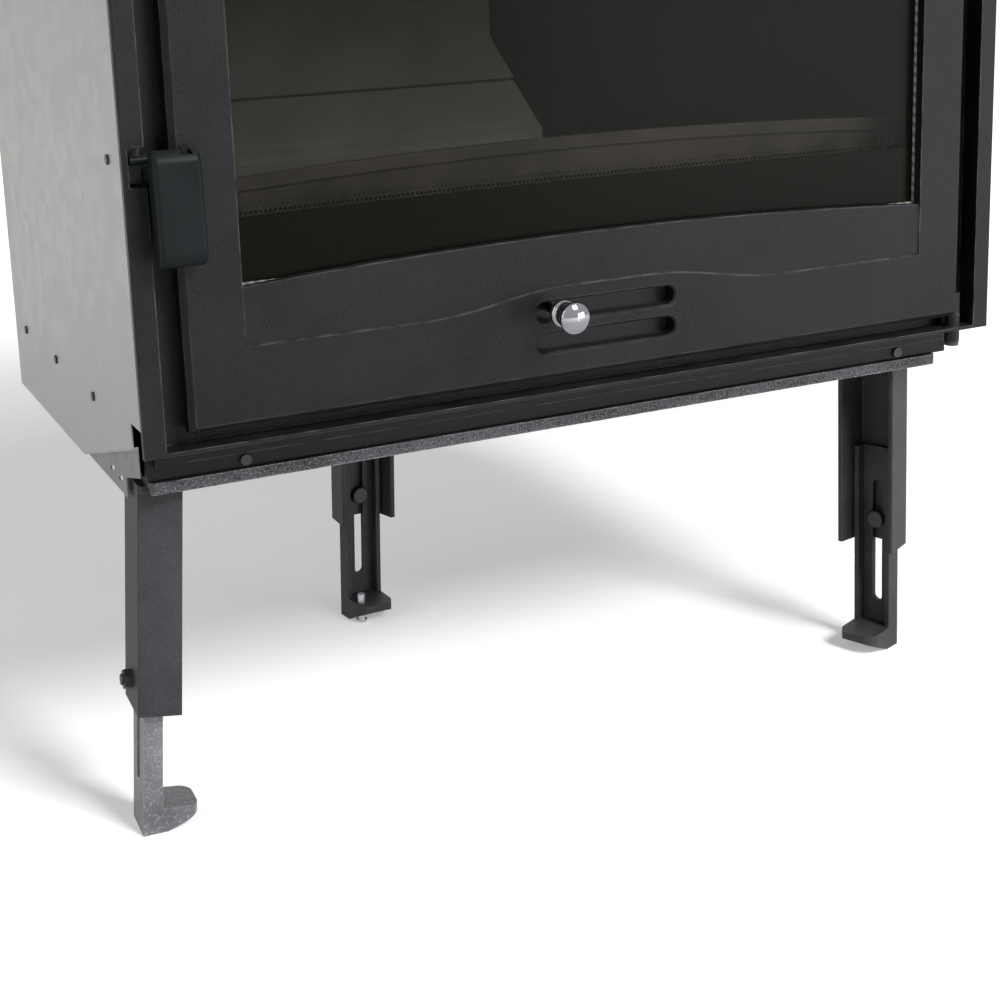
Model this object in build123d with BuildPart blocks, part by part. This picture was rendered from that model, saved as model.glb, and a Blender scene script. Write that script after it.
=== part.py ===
from build123d import *
from math import cos, radians, sin
import os

# The insert stands on its feet at Z 0 and its front faces -Y.
# Places across it are counted from the middle of its front frame, which lies at X = MIDDLE.
# Depths are counted backwards from the face of the front frame, which lies at Y = FACE.
MIDDLE = 4.95
FACE = -194.25

# Front frame
FRAME_HALF = 350.0
FRAME_LOW = 298.5
FRAME_TOP = 858.5
FRAME_INNER_HALF = 335.0
FRAME_INNER_LOW = 301.5
FRAME_INNER_TOP = 843.5
FRAME_PLATE = 6.0
TRAY_WALL = 6.0
TRAY_FLOOR = 18.0
TRAY_BACK = 22.0
THROAT_HALF = 296.0
THROAT_LOW = 326.0
THROAT_TOP = 810.0
THROAT_WALL = 6.0
THROAT_BACK = 41.0
FRAME_ROUND = 1.5

# Latch pocket in the frame's left bar
POCKET_LEFT = -346.0
POCKET_LOW = 479.0
POCKET_TOP = 505.0
POCKET_BACK = 16.0
POCKET_WALL = 2.5
POCKET_RIM = 7.0
KEEPER_THICK = 3.0

# Door
DOOR_HALF = 318.5
DOOR_LOW = 312.0
DOOR_TOP = 827.0
DOOR_FRONT = -2.0
DOOR_BACK = 12.0
DOOR_CHAMFER = 4.0
WINDOW_HALF = 277.0
WINDOW_LOW = 407.0
WINDOW_CROWN = 417.0
WINDOW_TOP = 786.0
RELIEF_LOW = 367.0
RELIEF_CROWN = 379.7
RELIEF_DEPTH = 1.2
REBATE_HALF = 289.0
REBATE_LOW = 395.5
REBATE_TOP = 797.5
REBATE_DEPTH = 6.0
RELIEF_FOOT_X = 150.0
RELIEF_FOOT_PULL = 100.0
RELIEF_HEAD_PULL = 80.0
RELIEF_HEAD_X = 30.0

# Small round-headed screws of the door, and the clips that hold the glass
SCREW_CORE_R = 2.0
SCREW_HEAD_R = 4.0
SCREW_HEAD = 2.0
SCREW_BITE = 5.0
CLIP_LONG = 20.0
CLIP_WIDE = 14.0
CLIP_THICK = 2.0
CLIP_ROUND = 3.0
CLIP_SCREW_SHIFT = 5.0
CLIP_SIDE_X = 291.0
CLIP_SIDE_ROWS = (470.0, 600.0, 730.0)
CLIP_END_X = 150.0
CLIP_END_LOW = 393.5
CLIP_END_TOP = 799.5

# Vertical hinge of the door
HINGE_X = 319.0
HINGE_DEPTH = 6.5
HINGE_PIN_R = 4.0
HINGE_BORE_R = 4.05
HINGE_BOSS_R = 6.0
KNUCKLE_R = 5.8
KNUCKLE_LENGTH = 18.0
HINGE_GAP = 0.5
HINGE_HEAD_LOW = 286.0
HINGE_BOSS_LOW = 289.0
HINGE_HEAD_R = 5.5
HINGE_GRIP = 16.0
PIN_CHAMFER = 0.8

# Glass and seals
GLASS_HALF = 286.0
GLASS_LOW = 398.5
GLASS_TOP = 794.5
GLASS_FRONT = 8.0
GLASS_SEAL_HALF = 276.0
SEAL_OUT_HALF = 310.5
SEAL_OUT_LOW = 316.5
SEAL_OUT_TOP = 819.5
SEAL_WIDTH = 8.0
SEAL_GROOVE = 2.0
SEAL_BACK = 17.7
SEAL_ROUND = 2.8

# Air slots, shutter and knob
SLOT_LENGTH = 115.0
SLOT_X = -4.5
SLOT_HEIGHT = 14.0
UPPER_SLOT_Z = 362.0
LOWER_SLOT_Z = 338.7
SLOT_BEVEL = 1.5
SHUTTER_HALF = 66.0
SHUTTER_LOW = 328.4
SHUTTER_TOP = 371.6
SHUTTER_THICK = 2.0
SHUTTER_GAP = 0.3
GUIDE_MARGIN = 18.0
GUIDE_LOW = 325.0
GUIDE_TOP = 376.0
GUIDE_THICK = 4.0
GUIDE_POCKET = 2.6
GUIDE_LIP = 4.0
GUIDE_FIT = 0.5
GUIDE_SCREW_INSET = 6.0
GUIDE_SCREW_Z = 350.0
SHUTTER_TRAVEL = 92.0
KNOB_X = -50.0
STEM_R = 3.5
KNOB_Z = 364.5
KNOB_BACK = -18.0
KNOB_FRONT = -44.0
KNOB_R = 11.6
KNOB_REAR_R = 10.4
KNOB_NECK_R = 8.8
KNOB_WAIST_R = 7.8
KNOB_RIM_R = 10.0
KNOB_RIM_DEPTH = -41.0
KNOB_BELLY_DEPTH = -38.5
KNOB_SHOULDER_R = 10.6
KNOB_SHOULDER_DEPTH = -35.0
KNOB_WAIST_DEPTH = -29.0
KNOB_NECK_DEPTH = -24.0
KNOB_BEAD_DEPTH = -21.0

# Door handle
HANDLE_PIVOT_DEPTH = -12.0
HANDLE_PIVOT_Z = 494.0
HANDLE_LEFT = -335.0
HANDLE_RIGHT = -304.0
HANDLE_HUB_R = 9.5
HANDLE_END_Z = 438.0
HANDLE_END_DEPTH = -14.5
HANDLE_END_R = 10.0
LUG_LEFT = -316.5
LUG_RIGHT = -309.5
LUG_R = 6.5
HANDLE_PIN_R = 3.0
HANDLE_ROUND = 3.0
HANDLE_FIT = 0.5
HANDLE_PIN_LEFT = -327.0
HANDLE_PIN_RIGHT = -305.0
HANDLE_BORE_SPARE = 1.0
PIN_RUNNING_FIT = 0.05
THUMB_X = -316.5
THUMB_LONG = 9.0
THUMB_DEEP = 4.5
THUMB_HIGH = 16.0
CAM_FRONT = -8.0
CAM_LOW = 490.0
CAM_TOP = 499.0
CAM_LEFT = -331.5
CAM_RIGHT = -326.0
FINGER_LEFT = -344.0
FINGER_R = 3.0
FINGER_DEPTH = 5.0
FINGER_Z = 496.0

# Base and apron
PLATE_LEFT = -338.0
PLATE_RIGHT = 328.0
PLATE_LOW = 261.5
PLATE_UNDER = 265.0
PLATE_TOP = 270.0
LIP_BACK = 46.0
PLATE_FRONT = 38.0
PLATE_BACK = 424.0
APRON_BACK = 47.0
BOX_HALF = 300.0
BOX_WALL = 4.0
BOX_BACK = 396.0
SHELF_LOW = 322.0
HEARTH_LOW = 392.0
HEARTH_TOP = 400.0
APRON_SPARE = 5.0
BEAD_FRONT = 36.0
BEAD_LOW = 282.0
BEAD_TOP = 294.0
BEAD_ROUND = 1.5
APRON_SCREWS = [(-270.0, 276.0), (290.0, 276.0)]
APRON_SCREW_HEAD = 2.5
PLATE_ROUND = 3.0
SHELF_THICK = 4.0

# Grate and ash pan
GRATE_HALF = 110.0
GRATE_FRONT = 120.0
GRATE_BACK = 290.0
PAN_HALF = 118.0
PAN_BACK = 340.0
PAN_TOP = 380.0
PAN_WALL = 2.0
PAN_ROUND = 8.0
PAN_LIP = 8.0
PAN_FACE = 3.0
BOW_HALF = 30.0
BOW_REACH = 13.0
BOW_Z = 358.0
BOW_R = 2.5
BOW_ROUND = 6.0
GRATE_REST = 4.0
GRATE_LEDGE = 8.0
GRATE_FIT = 1.0
GRATE_THICK = 8.0
GRATE_RIM = 14.0
GRATE_ROUND = 1.5

# Firebox
FIREBOX_TOP = 816.0
WALL_FRONT_X = 290.0
WALL_FRONT_DEPTH = 58.0
WALL_REAR_X = 180.0
WALL_REAR_DEPTH = 380.0
WALL_THICK = 8.0
RETAINER_HALF = 284.0
RETAINER_FRONT = 50.0
RETAINER_END_Z = 470.0
RETAINER_CROWN_Z = 479.0
RETAINER_THICK = 6.0
RETAINER_RIM = 8.5
RETAINER_RECESS = 2.5
FLUE_DEPTH = 230.0
FLUE_R = 90.0
FLUE_WALL = 6.0
FLUE_FLANGE_R = 116.0
FLUE_TOP = 930.0
FLUE_FLANGE = 7.0
FLUE_HOLE_SPARE = 3.0
FLUE_ROUND = 1.5
COLLAR_BOLTS = 6
COLLAR_BOLT_RING = 107.0
COLLAR_BOLT_R = 3.0
COLLAR_HEAD_R = 5.5
COLLAR_HEAD = 4.0
BAFFLE_REST_Z = 700.0
BAFFLE_THICK = 14.0
BAFFLE_FRONT = 140.0
BAFFLE_BACK = 362.0
BAFFLE_FIT = 3.0
LUG_DEPTHS = (170.0, 320.0)
LUG_LONG = 24.0
LUG_WIDE = 16.0
LUG_THICK = 12.0

# Casing of thin sheet
SHEET = 1.0
CASING_HALF = 350.0
CASING_LOW = 252.0
CASING_TOP = 870.0
CASING_BACK = 431.0
CREASE_FRONT = (34.0, 298.0)
CREASE_BACK = (192.0, 252.0)
NOTCH_BACK = 33.0
NOTCH_TOP = 317.0
SKIRT_INSET = 3.0
SKIRT_FRONT_Z = 277.0
SKIRT_LEG = (72.0, 267.0)
SKIRT_SLOTS = [(88.0, 262.0), (112.0, 263.0)]
SKIRT_SLOT_LONG = 12.0
SKIRT_SLOT_WIDE = 3.0
SKIRT_SLOT_TURN = -16.0
COLLAR_GAP = 2.0
SHEET_SCREW_R = 1.6
SHEET_HEAD_R = 3.4
SHEET_HEAD = 1.5
SHEET_BITE = 4.0

# Legs
BRACKET_LOW = 94.0
BRACKET_WIDTH = 46.0
BRACKET_WALL = 4.5
BRACKET_FLANGE = 31.0
BRACKET_SPLAY = 8.0
TAB_LOW = 260.0
TAB_SPARE = 4.0
TAB_REACH = 16.0
TAB_BOLT_REACH = 36.0
TAB_BOLT_SHORT = 3.0
BOLT_R = 4.0
HEX_FLAT = 6.5
HEX_THICK = 5.0
BRACKET_ROUND = 1.2
FOOT_HALF = 17.5
FOOT_FLANGE = 14.0
SOLE_SPARE = 5.0
FOOT_GAP = 0.3
FOOT_TOP = 180.0
TOE_LENGTH = 41.0
NOSE_R = 10.0
TOE_RISE = 11.0
TOE_TOP = 18.0
TOE_RUN = 16.0
FOOT_WALL = 5.0
FOOT_CHEEK = 4.0
LEVEL_REACH = 33.0
LEVEL_SIDE = -11.0
LEVEL_R = 3.5
LEVEL_HEAD_R = 5.0
LEVEL_HEAD_LOW = 0.8
LEVEL_HEAD = 2.2
LEVEL_LENGTH = 24.0
FOOT_SLOT_LOW = 38.0
FOOT_SLOT_TOP = 150.0
FOOT_SLOT_WIDTH = 9.5
CLAMP_Z = 115.0
CLAMP_HEAD_R = 8.0
CLAMP_HEAD = 5.0
CLAMP_HEAD_ROUND = 2.0
CLAMP_NUT = 6.0
CLAMP_END = 7.8
LEGS = {
    "front_left": (-342.4, 78.2, -2.8, 4.25),
    "front_right": (314.0, 88.1, 201.0, -0.9),
    "rear": (-60.0, 387.9, 277.4, 2.0),
}


# Planes: across the insert at a depth, level at a height, and upright from front to back
def at_depth(depth):
    return Plane(origin=(MIDDLE, FACE + depth, 0), x_dir=(1, 0, 0), z_dir=(0, -1, 0))


def at_height(height):
    return Plane(origin=(MIDDLE, FACE, height), x_dir=(1, 0, 0), z_dir=(0, 0, 1))


def at_side(x):
    return Plane(origin=(MIDDLE + x, FACE, 0), x_dir=(0, 1, 0), z_dir=(1, 0, 0))


# Level plane under a leg's place, and the plane across its leaning axis at a distance along it
def level_plane(leg, height):
    x, depth, turn, lean = LEGS[leg]
    opening = (cos(radians(turn)), sin(radians(turn)), 0)
    return Plane(origin=(MIDDLE + x, FACE + depth, height), x_dir=opening, z_dir=(0, 0, 1))


def leg_plane(leg, height):
    level = level_plane(leg, PLATE_UNDER)
    lean = radians(LEGS[leg][3])
    axis = Vector(sin(lean), 0, cos(lean))
    opening = level.x_dir - axis * level.x_dir.dot(axis)
    return Plane(origin=level.origin + axis * (height - PLATE_UNDER), x_dir=opening, z_dir=axis)


# A rectangle between two corners of the sketch it is called in
def rect(x0, y0, x1, y1, mode=Mode.ADD):
    with Locations(((x0 + x1) / 2, (y0 + y1) / 2)):
        Rectangle(x1 - x0, y1 - y0, mode=mode)


# A block between two limits on each of X, depth and Z
def block(x0, x1, depth0, depth1, z0, z1, mode=Mode.ADD):
    with Locations((MIDDLE + (x0 + x1) / 2, FACE + (depth0 + depth1) / 2, (z0 + z1) / 2)):
        Box(x1 - x0, depth1 - depth0, z1 - z0, mode=mode)


# A rod or a bore between two points, given as (x, depth, z)
def rod(start, end, radius, mode=Mode.ADD):
    a = Vector(MIDDLE + start[0], FACE + start[1], start[2])
    b = Vector(MIDDLE + end[0], FACE + end[1], end[2])
    with Locations(Plane(origin=a, z_dir=b - a)):
        Cylinder(radius, (b - a).length, align=(Align.CENTER, Align.CENTER, Align.MIN), mode=mode)


# The outline of the window: three straight sides over an arched sill
def window_outline(half, low, crown, top):
    with BuildLine() as outline:
        ThreePointArc((-half, low), (0, crown), (half, low))
        Polyline((half, low), (half, top), (-half, top), (-half, low))
    make_face(outline.edges())


# A picture frame shape: one rectangle inside another
def ring(half, low, top, width):
    rect(-half, low, half, top)
    rect(-half + width, low + width, half - width, top - width, mode=Mode.SUBTRACT)


# Front frame: a plate with a tray behind it, into which the door closes
with BuildPart() as front_frame:
    with BuildSketch(at_depth(FRAME_PLATE)):
        rect(-FRAME_HALF, FRAME_LOW, FRAME_HALF, FRAME_TOP)
        rect(-FRAME_INNER_HALF, FRAME_INNER_LOW, FRAME_INNER_HALF, FRAME_INNER_TOP, mode=Mode.SUBTRACT)
    extrude(amount=FRAME_PLATE)
    fillet(front_frame.faces().sort_by(Axis.Y)[0].outer_wire().edges(), radius=FRAME_ROUND)
    with BuildSketch(at_depth(TRAY_BACK)):
        rect(
            -FRAME_INNER_HALF - TRAY_WALL, FRAME_LOW,
            FRAME_INNER_HALF + TRAY_WALL, FRAME_INNER_TOP + TRAY_WALL,
        )
        rect(-FRAME_INNER_HALF, FRAME_INNER_LOW, FRAME_INNER_HALF, FRAME_INNER_TOP, mode=Mode.SUBTRACT)
    extrude(amount=TRAY_BACK - FRAME_PLATE)
    with BuildSketch(at_depth(TRAY_BACK)):
        rect(
            -FRAME_INNER_HALF - TRAY_WALL, FRAME_LOW,
            FRAME_INNER_HALF + TRAY_WALL, FRAME_INNER_TOP + TRAY_WALL,
        )
        rect(-THROAT_HALF, THROAT_LOW, THROAT_HALF, THROAT_TOP, mode=Mode.SUBTRACT)
    extrude(amount=TRAY_BACK - TRAY_FLOOR)
    with BuildSketch(at_depth(THROAT_BACK)):
        rect(
            -THROAT_HALF - THROAT_WALL, THROAT_LOW - THROAT_WALL,
            THROAT_HALF + THROAT_WALL, THROAT_TOP + THROAT_WALL,
        )
        rect(-THROAT_HALF, THROAT_LOW, THROAT_HALF, THROAT_TOP, mode=Mode.SUBTRACT)
    extrude(amount=THROAT_BACK - TRAY_BACK)
    block(
        POCKET_LEFT - POCKET_WALL, -FRAME_INNER_HALF, FRAME_PLATE, TRAY_BACK,
        POCKET_LOW - POCKET_RIM, POCKET_TOP + POCKET_RIM,
    )
    block(
        POCKET_LEFT, -FRAME_INNER_HALF, -1, POCKET_BACK,
        POCKET_LOW, POCKET_TOP, mode=Mode.SUBTRACT,
    )
    rod((HINGE_X, HINGE_DEPTH, HINGE_BOSS_LOW), (HINGE_X, HINGE_DEPTH, DOOR_LOW - HINGE_GAP), HINGE_BOSS_R)
    rod(
        (HINGE_X, HINGE_DEPTH, DOOR_TOP + HINGE_GAP),
        (HINGE_X, HINGE_DEPTH, FRAME_INNER_TOP + 1), HINGE_BOSS_R,
    )
    rod(
        (HINGE_X, HINGE_DEPTH, HINGE_HEAD_LOW), (HINGE_X, HINGE_DEPTH, DOOR_LOW),
        HINGE_PIN_R, mode=Mode.SUBTRACT,
    )
    rod(
        (HINGE_X, HINGE_DEPTH, DOOR_TOP), (HINGE_X, HINGE_DEPTH, FRAME_TOP + 1),
        HINGE_PIN_R, mode=Mode.SUBTRACT,
    )

# Hinge pins: pressed into the frame's bosses, with a head below the lower one
with BuildPart() as hinge_pin_lower:
    rod((HINGE_X, HINGE_DEPTH, HINGE_BOSS_LOW), (HINGE_X, HINGE_DEPTH, DOOR_LOW + HINGE_GRIP), HINGE_PIN_R)
    rod((HINGE_X, HINGE_DEPTH, HINGE_HEAD_LOW), (HINGE_X, HINGE_DEPTH, HINGE_BOSS_LOW), HINGE_HEAD_R)
    chamfer(hinge_pin_lower.edges().group_by(Axis.Z)[-1], length=PIN_CHAMFER)

with BuildPart() as hinge_pin_upper:
    rod((HINGE_X, HINGE_DEPTH, DOOR_TOP - HINGE_GRIP), (HINGE_X, HINGE_DEPTH, FRAME_TOP), HINGE_PIN_R)
    chamfer(hinge_pin_upper.edges().group_by(Axis.Z)[0], length=PIN_CHAMFER)

# Wear plate at the back of the latch pocket
with BuildPart() as latch_keeper:
    block(
        POCKET_LEFT + 0.5, -FRAME_INNER_HALF, POCKET_BACK - KEEPER_THICK, POCKET_BACK,
        POCKET_LOW + 1, POCKET_TOP - 1,
    )

# Door casting
GUIDE_LEFT = -SHUTTER_HALF - GUIDE_MARGIN
GUIDE_RIGHT = SHUTTER_HALF + SHUTTER_TRAVEL + GUIDE_MARGIN
GUIDE_SCREWS = [(x, GUIDE_SCREW_Z) for x in (GUIDE_LEFT + GUIDE_SCREW_INSET, GUIDE_RIGHT - GUIDE_SCREW_INSET)]
CLIP_SIDES = [(side * CLIP_SIDE_X, z) for side in (-1, 1) for z in CLIP_SIDE_ROWS]
CLIP_ENDS = [(x, z) for x in (-CLIP_END_X, CLIP_END_X) for z in (CLIP_END_LOW, CLIP_END_TOP)]
CLIP_SCREWS = [(x + CLIP_SCREW_SHIFT * (1 if x > 0 else -1), z) for x, z in CLIP_SIDES]
CLIP_SCREWS += [(x, z + CLIP_SCREW_SHIFT * (1 if z > CLIP_END_LOW else -1)) for x, z in CLIP_ENDS]

with BuildPart() as door_frame:
    with BuildSketch(at_depth(DOOR_BACK)):
        rect(-DOOR_HALF, DOOR_LOW, DOOR_HALF, DOOR_TOP)
    extrude(amount=DOOR_BACK - DOOR_FRONT)
    chamfer(door_frame.edges().group_by(Axis.Y)[0], length=DOOR_CHAMFER)
    with BuildSketch(at_depth(DOOR_FRONT)):
        with BuildLine():
            ThreePointArc((-WINDOW_HALF, WINDOW_LOW), (0, WINDOW_CROWN), (WINDOW_HALF, WINDOW_LOW))
            Line((WINDOW_HALF, WINDOW_LOW), (WINDOW_HALF, RELIEF_LOW))
            Line((WINDOW_HALF, RELIEF_LOW), (RELIEF_FOOT_X, RELIEF_LOW))
            Bezier(
                (RELIEF_FOOT_X, RELIEF_LOW), (RELIEF_FOOT_PULL, RELIEF_LOW),
                (RELIEF_HEAD_PULL, RELIEF_CROWN), (RELIEF_HEAD_X, RELIEF_CROWN),
            )
            Line((RELIEF_HEAD_X, RELIEF_CROWN), (-RELIEF_HEAD_X, RELIEF_CROWN))
            Bezier(
                (-RELIEF_HEAD_X, RELIEF_CROWN), (-RELIEF_HEAD_PULL, RELIEF_CROWN),
                (-RELIEF_FOOT_PULL, RELIEF_LOW), (-RELIEF_FOOT_X, RELIEF_LOW),
            )
            Line((-RELIEF_FOOT_X, RELIEF_LOW), (-WINDOW_HALF, RELIEF_LOW))
            Line((-WINDOW_HALF, RELIEF_LOW), (-WINDOW_HALF, WINDOW_LOW))
        make_face()
    extrude(amount=-RELIEF_DEPTH, mode=Mode.SUBTRACT)
    with BuildSketch(at_depth(DOOR_FRONT)):
        window_outline(WINDOW_HALF, WINDOW_LOW, WINDOW_CROWN, WINDOW_TOP)
    extrude(amount=DOOR_FRONT - DOOR_BACK, mode=Mode.SUBTRACT)
    block(
        -REBATE_HALF, REBATE_HALF, REBATE_DEPTH, DOOR_BACK,
        REBATE_LOW, REBATE_TOP, mode=Mode.SUBTRACT,
    )
    with BuildSketch(at_depth(DOOR_FRONT)):
        with Locations((SLOT_X, UPPER_SLOT_Z), (SLOT_X, LOWER_SLOT_Z)):
            SlotOverall(SLOT_LENGTH, SLOT_HEIGHT)
    extrude(amount=DOOR_FRONT - DOOR_BACK, mode=Mode.SUBTRACT)
    with BuildSketch(at_depth(DOOR_FRONT)):
        with Locations((SLOT_X, UPPER_SLOT_Z), (SLOT_X, LOWER_SLOT_Z)):
            SlotOverall(SLOT_LENGTH + 2 * SLOT_BEVEL, SLOT_HEIGHT + 2 * SLOT_BEVEL)
    extrude(amount=-SLOT_BEVEL, taper=45, mode=Mode.SUBTRACT)
    with BuildSketch(at_depth(DOOR_BACK)):
        ring(SEAL_OUT_HALF, SEAL_OUT_LOW, SEAL_OUT_TOP, SEAL_WIDTH)
    extrude(amount=SEAL_GROOVE, mode=Mode.SUBTRACT)
    for knuckle_low in (DOOR_LOW, DOOR_TOP - KNUCKLE_LENGTH):
        rod(
            (HINGE_X, HINGE_DEPTH, knuckle_low),
            (HINGE_X, HINGE_DEPTH, knuckle_low + KNUCKLE_LENGTH), KNUCKLE_R,
        )
        rod(
            (HINGE_X, HINGE_DEPTH, knuckle_low - 1),
            (HINGE_X, HINGE_DEPTH, knuckle_low + KNUCKLE_LENGTH + 1), HINGE_BORE_R, mode=Mode.SUBTRACT,
        )
    with BuildSketch(at_side(LUG_LEFT)):
        with Locations((HANDLE_PIVOT_DEPTH, HANDLE_PIVOT_Z)):
            Circle(LUG_R)
        rect(HANDLE_PIVOT_DEPTH, HANDLE_PIVOT_Z - LUG_R, 4, HANDLE_PIVOT_Z + LUG_R)
    extrude(amount=LUG_RIGHT - LUG_LEFT)
    rod(
        (LUG_LEFT - 1, HANDLE_PIVOT_DEPTH, HANDLE_PIVOT_Z),
        (LUG_RIGHT + 1, HANDLE_PIVOT_DEPTH, HANDLE_PIVOT_Z), HANDLE_PIN_R, mode=Mode.SUBTRACT,
    )
    for x, z in CLIP_SCREWS:
        rod((x, DOOR_BACK - SCREW_BITE, z), (x, DOOR_BACK + 1, z), SCREW_CORE_R, mode=Mode.SUBTRACT)
    for x, z in GUIDE_SCREWS:
        rod((x, DOOR_BACK - SCREW_BITE, z), (x, DOOR_BACK + 1, z), SCREW_CORE_R, mode=Mode.SUBTRACT)

# Glass, its rope seal, and the clips that hold it
with BuildPart() as door_glass:
    block(-GLASS_HALF, GLASS_HALF, GLASS_FRONT, DOOR_BACK, GLASS_LOW, GLASS_TOP)

with BuildPart() as glass_seal:
    with BuildSketch(at_depth(GLASS_FRONT)):
        ring(GLASS_HALF, GLASS_LOW, GLASS_TOP, GLASS_HALF - GLASS_SEAL_HALF)
    extrude(amount=GLASS_FRONT - REBATE_DEPTH)

with BuildPart() as glass_clips:
    with BuildSketch(at_depth(DOOR_BACK + CLIP_THICK)):
        with Locations(*CLIP_SIDES):
            RectangleRounded(CLIP_LONG, CLIP_WIDE, CLIP_ROUND)
        with Locations(*CLIP_ENDS):
            RectangleRounded(CLIP_WIDE, CLIP_LONG, CLIP_ROUND)
        with Locations(*CLIP_SCREWS):
            Circle(SCREW_CORE_R, mode=Mode.SUBTRACT)
    extrude(amount=CLIP_THICK)

with BuildPart() as clip_screws:
    for x, z in CLIP_SCREWS:
        rod((x, DOOR_BACK - SCREW_BITE, z), (x, DOOR_BACK + CLIP_THICK, z), SCREW_CORE_R)
        rod((x, DOOR_BACK + CLIP_THICK, z), (x, DOOR_BACK + CLIP_THICK + SCREW_HEAD, z), SCREW_HEAD_R)

# Rope seal in the groove round the back of the door
with BuildPart() as door_seal:
    with BuildSketch(at_depth(SEAL_BACK)):
        ring(SEAL_OUT_HALF, SEAL_OUT_LOW, SEAL_OUT_TOP, SEAL_WIDTH)
    extrude(amount=SEAL_BACK - DOOR_BACK + SEAL_GROOVE)
    fillet(door_seal.edges().group_by(Axis.Y)[-1], radius=SEAL_ROUND)

# Guide for the air shutter: a flat frame with a pocket for the plate on its door side
with BuildPart() as slider_guide:
    block(GUIDE_LEFT, GUIDE_RIGHT, DOOR_BACK, DOOR_BACK + GUIDE_THICK, GUIDE_LOW, GUIDE_TOP)
    block(
        -SHUTTER_HALF - GUIDE_FIT, SHUTTER_HALF + SHUTTER_TRAVEL + GUIDE_FIT,
        DOOR_BACK, DOOR_BACK + GUIDE_POCKET,
        SHUTTER_LOW - GUIDE_FIT, SHUTTER_TOP + GUIDE_FIT, mode=Mode.SUBTRACT,
    )
    block(
        -SHUTTER_HALF + GUIDE_LIP, SHUTTER_HALF + SHUTTER_TRAVEL - GUIDE_LIP,
        DOOR_BACK, DOOR_BACK + GUIDE_THICK,
        SHUTTER_LOW + GUIDE_LIP, SHUTTER_TOP - GUIDE_LIP, mode=Mode.SUBTRACT,
    )
    for x, z in GUIDE_SCREWS:
        rod((x, DOOR_BACK - 1, z), (x, DOOR_BACK + GUIDE_THICK + 1, z), SCREW_CORE_R, mode=Mode.SUBTRACT)

with BuildPart() as guide_screws:
    for x, z in GUIDE_SCREWS:
        rod((x, DOOR_BACK - SCREW_BITE, z), (x, DOOR_BACK + GUIDE_THICK, z), SCREW_CORE_R)
        rod((x, DOOR_BACK + GUIDE_THICK, z), (x, DOOR_BACK + GUIDE_THICK + SCREW_HEAD, z), SCREW_HEAD_R)

# Air shutter: a plate with a stem through the upper slot and a chrome knob
with BuildPart() as air_shutter:
    with BuildSketch(at_depth(DOOR_BACK + SHUTTER_GAP + SHUTTER_THICK)):
        with Locations((0, (SHUTTER_LOW + SHUTTER_TOP) / 2)):
            RectangleRounded(2 * SHUTTER_HALF, SHUTTER_TOP - SHUTTER_LOW, 2)
    extrude(amount=SHUTTER_THICK)

with BuildPart() as knob_stem:
    rod((KNOB_X, DOOR_BACK + SHUTTER_GAP, KNOB_Z), (KNOB_X, KNOB_BACK, KNOB_Z), STEM_R)

KNOB_CROWN = KNOB_RIM_DEPTH - KNOB_FRONT
KNOB_CROWN_R = (KNOB_RIM_R**2 + KNOB_CROWN**2) / (2 * KNOB_CROWN)
with BuildPart() as air_knob:
    with BuildSketch(Plane(origin=(MIDDLE + KNOB_X, FACE, KNOB_Z), x_dir=(1, 0, 0), z_dir=(0, 0, 1))):
        with BuildLine():
            Line((0, KNOB_BACK), (KNOB_NECK_R, KNOB_BACK))
            ThreePointArc(
                (KNOB_NECK_R, KNOB_BACK), (KNOB_REAR_R, KNOB_BEAD_DEPTH), (KNOB_NECK_R, KNOB_NECK_DEPTH),
            )
            Spline(
                (KNOB_NECK_R, KNOB_NECK_DEPTH), (KNOB_WAIST_R, KNOB_WAIST_DEPTH),
                (KNOB_SHOULDER_R, KNOB_SHOULDER_DEPTH), (KNOB_R, KNOB_BELLY_DEPTH),
                (KNOB_RIM_R, KNOB_RIM_DEPTH),
            )
            RadiusArc((KNOB_RIM_R, KNOB_RIM_DEPTH), (0, KNOB_FRONT), KNOB_CROWN_R)
            Line((0, KNOB_FRONT), (0, KNOB_BACK))
        make_face()
    revolve(axis=Axis((MIDDLE + KNOB_X, FACE, KNOB_Z), (0, 1, 0)))

# Handle: a hub on the pin, tapering into a grip, with a slot for the door's lug
with BuildPart() as door_handle:
    with BuildSketch(at_side(HANDLE_LEFT)):
        with Locations((HANDLE_PIVOT_DEPTH, HANDLE_PIVOT_Z)):
            Circle(HANDLE_HUB_R)
        with Locations((HANDLE_END_DEPTH, HANDLE_END_Z)):
            Circle(HANDLE_END_R)
        make_hull()
    extrude(amount=HANDLE_RIGHT - HANDLE_LEFT)
    fillet(door_handle.faces().filter_by(Axis.X).edges(), radius=HANDLE_ROUND)
    block(
        LUG_LEFT - HANDLE_FIT, LUG_RIGHT + HANDLE_FIT, HANDLE_PIVOT_DEPTH - LUG_R - HANDLE_FIT, 0,
        HANDLE_PIVOT_Z - 2.4 * LUG_R, HANDLE_PIVOT_Z + HANDLE_HUB_R + 1, mode=Mode.SUBTRACT,
    )
    rod(
        (HANDLE_PIN_LEFT - HANDLE_BORE_SPARE, HANDLE_PIVOT_DEPTH, HANDLE_PIVOT_Z),
        (HANDLE_RIGHT + HANDLE_BORE_SPARE, HANDLE_PIVOT_DEPTH, HANDLE_PIVOT_Z),
        HANDLE_PIN_R + PIN_RUNNING_FIT, mode=Mode.SUBTRACT,
    )
    block(CAM_LEFT, CAM_RIGHT, CAM_FRONT, 0, CAM_LOW, CAM_TOP, mode=Mode.SUBTRACT)
    with BuildSketch(at_height(HANDLE_END_Z - HANDLE_END_R - 1)):
        with Locations((THUMB_X, HANDLE_END_DEPTH)):
            Ellipse(THUMB_LONG, THUMB_DEEP)
    extrude(amount=THUMB_HIGH, mode=Mode.SUBTRACT)

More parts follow.
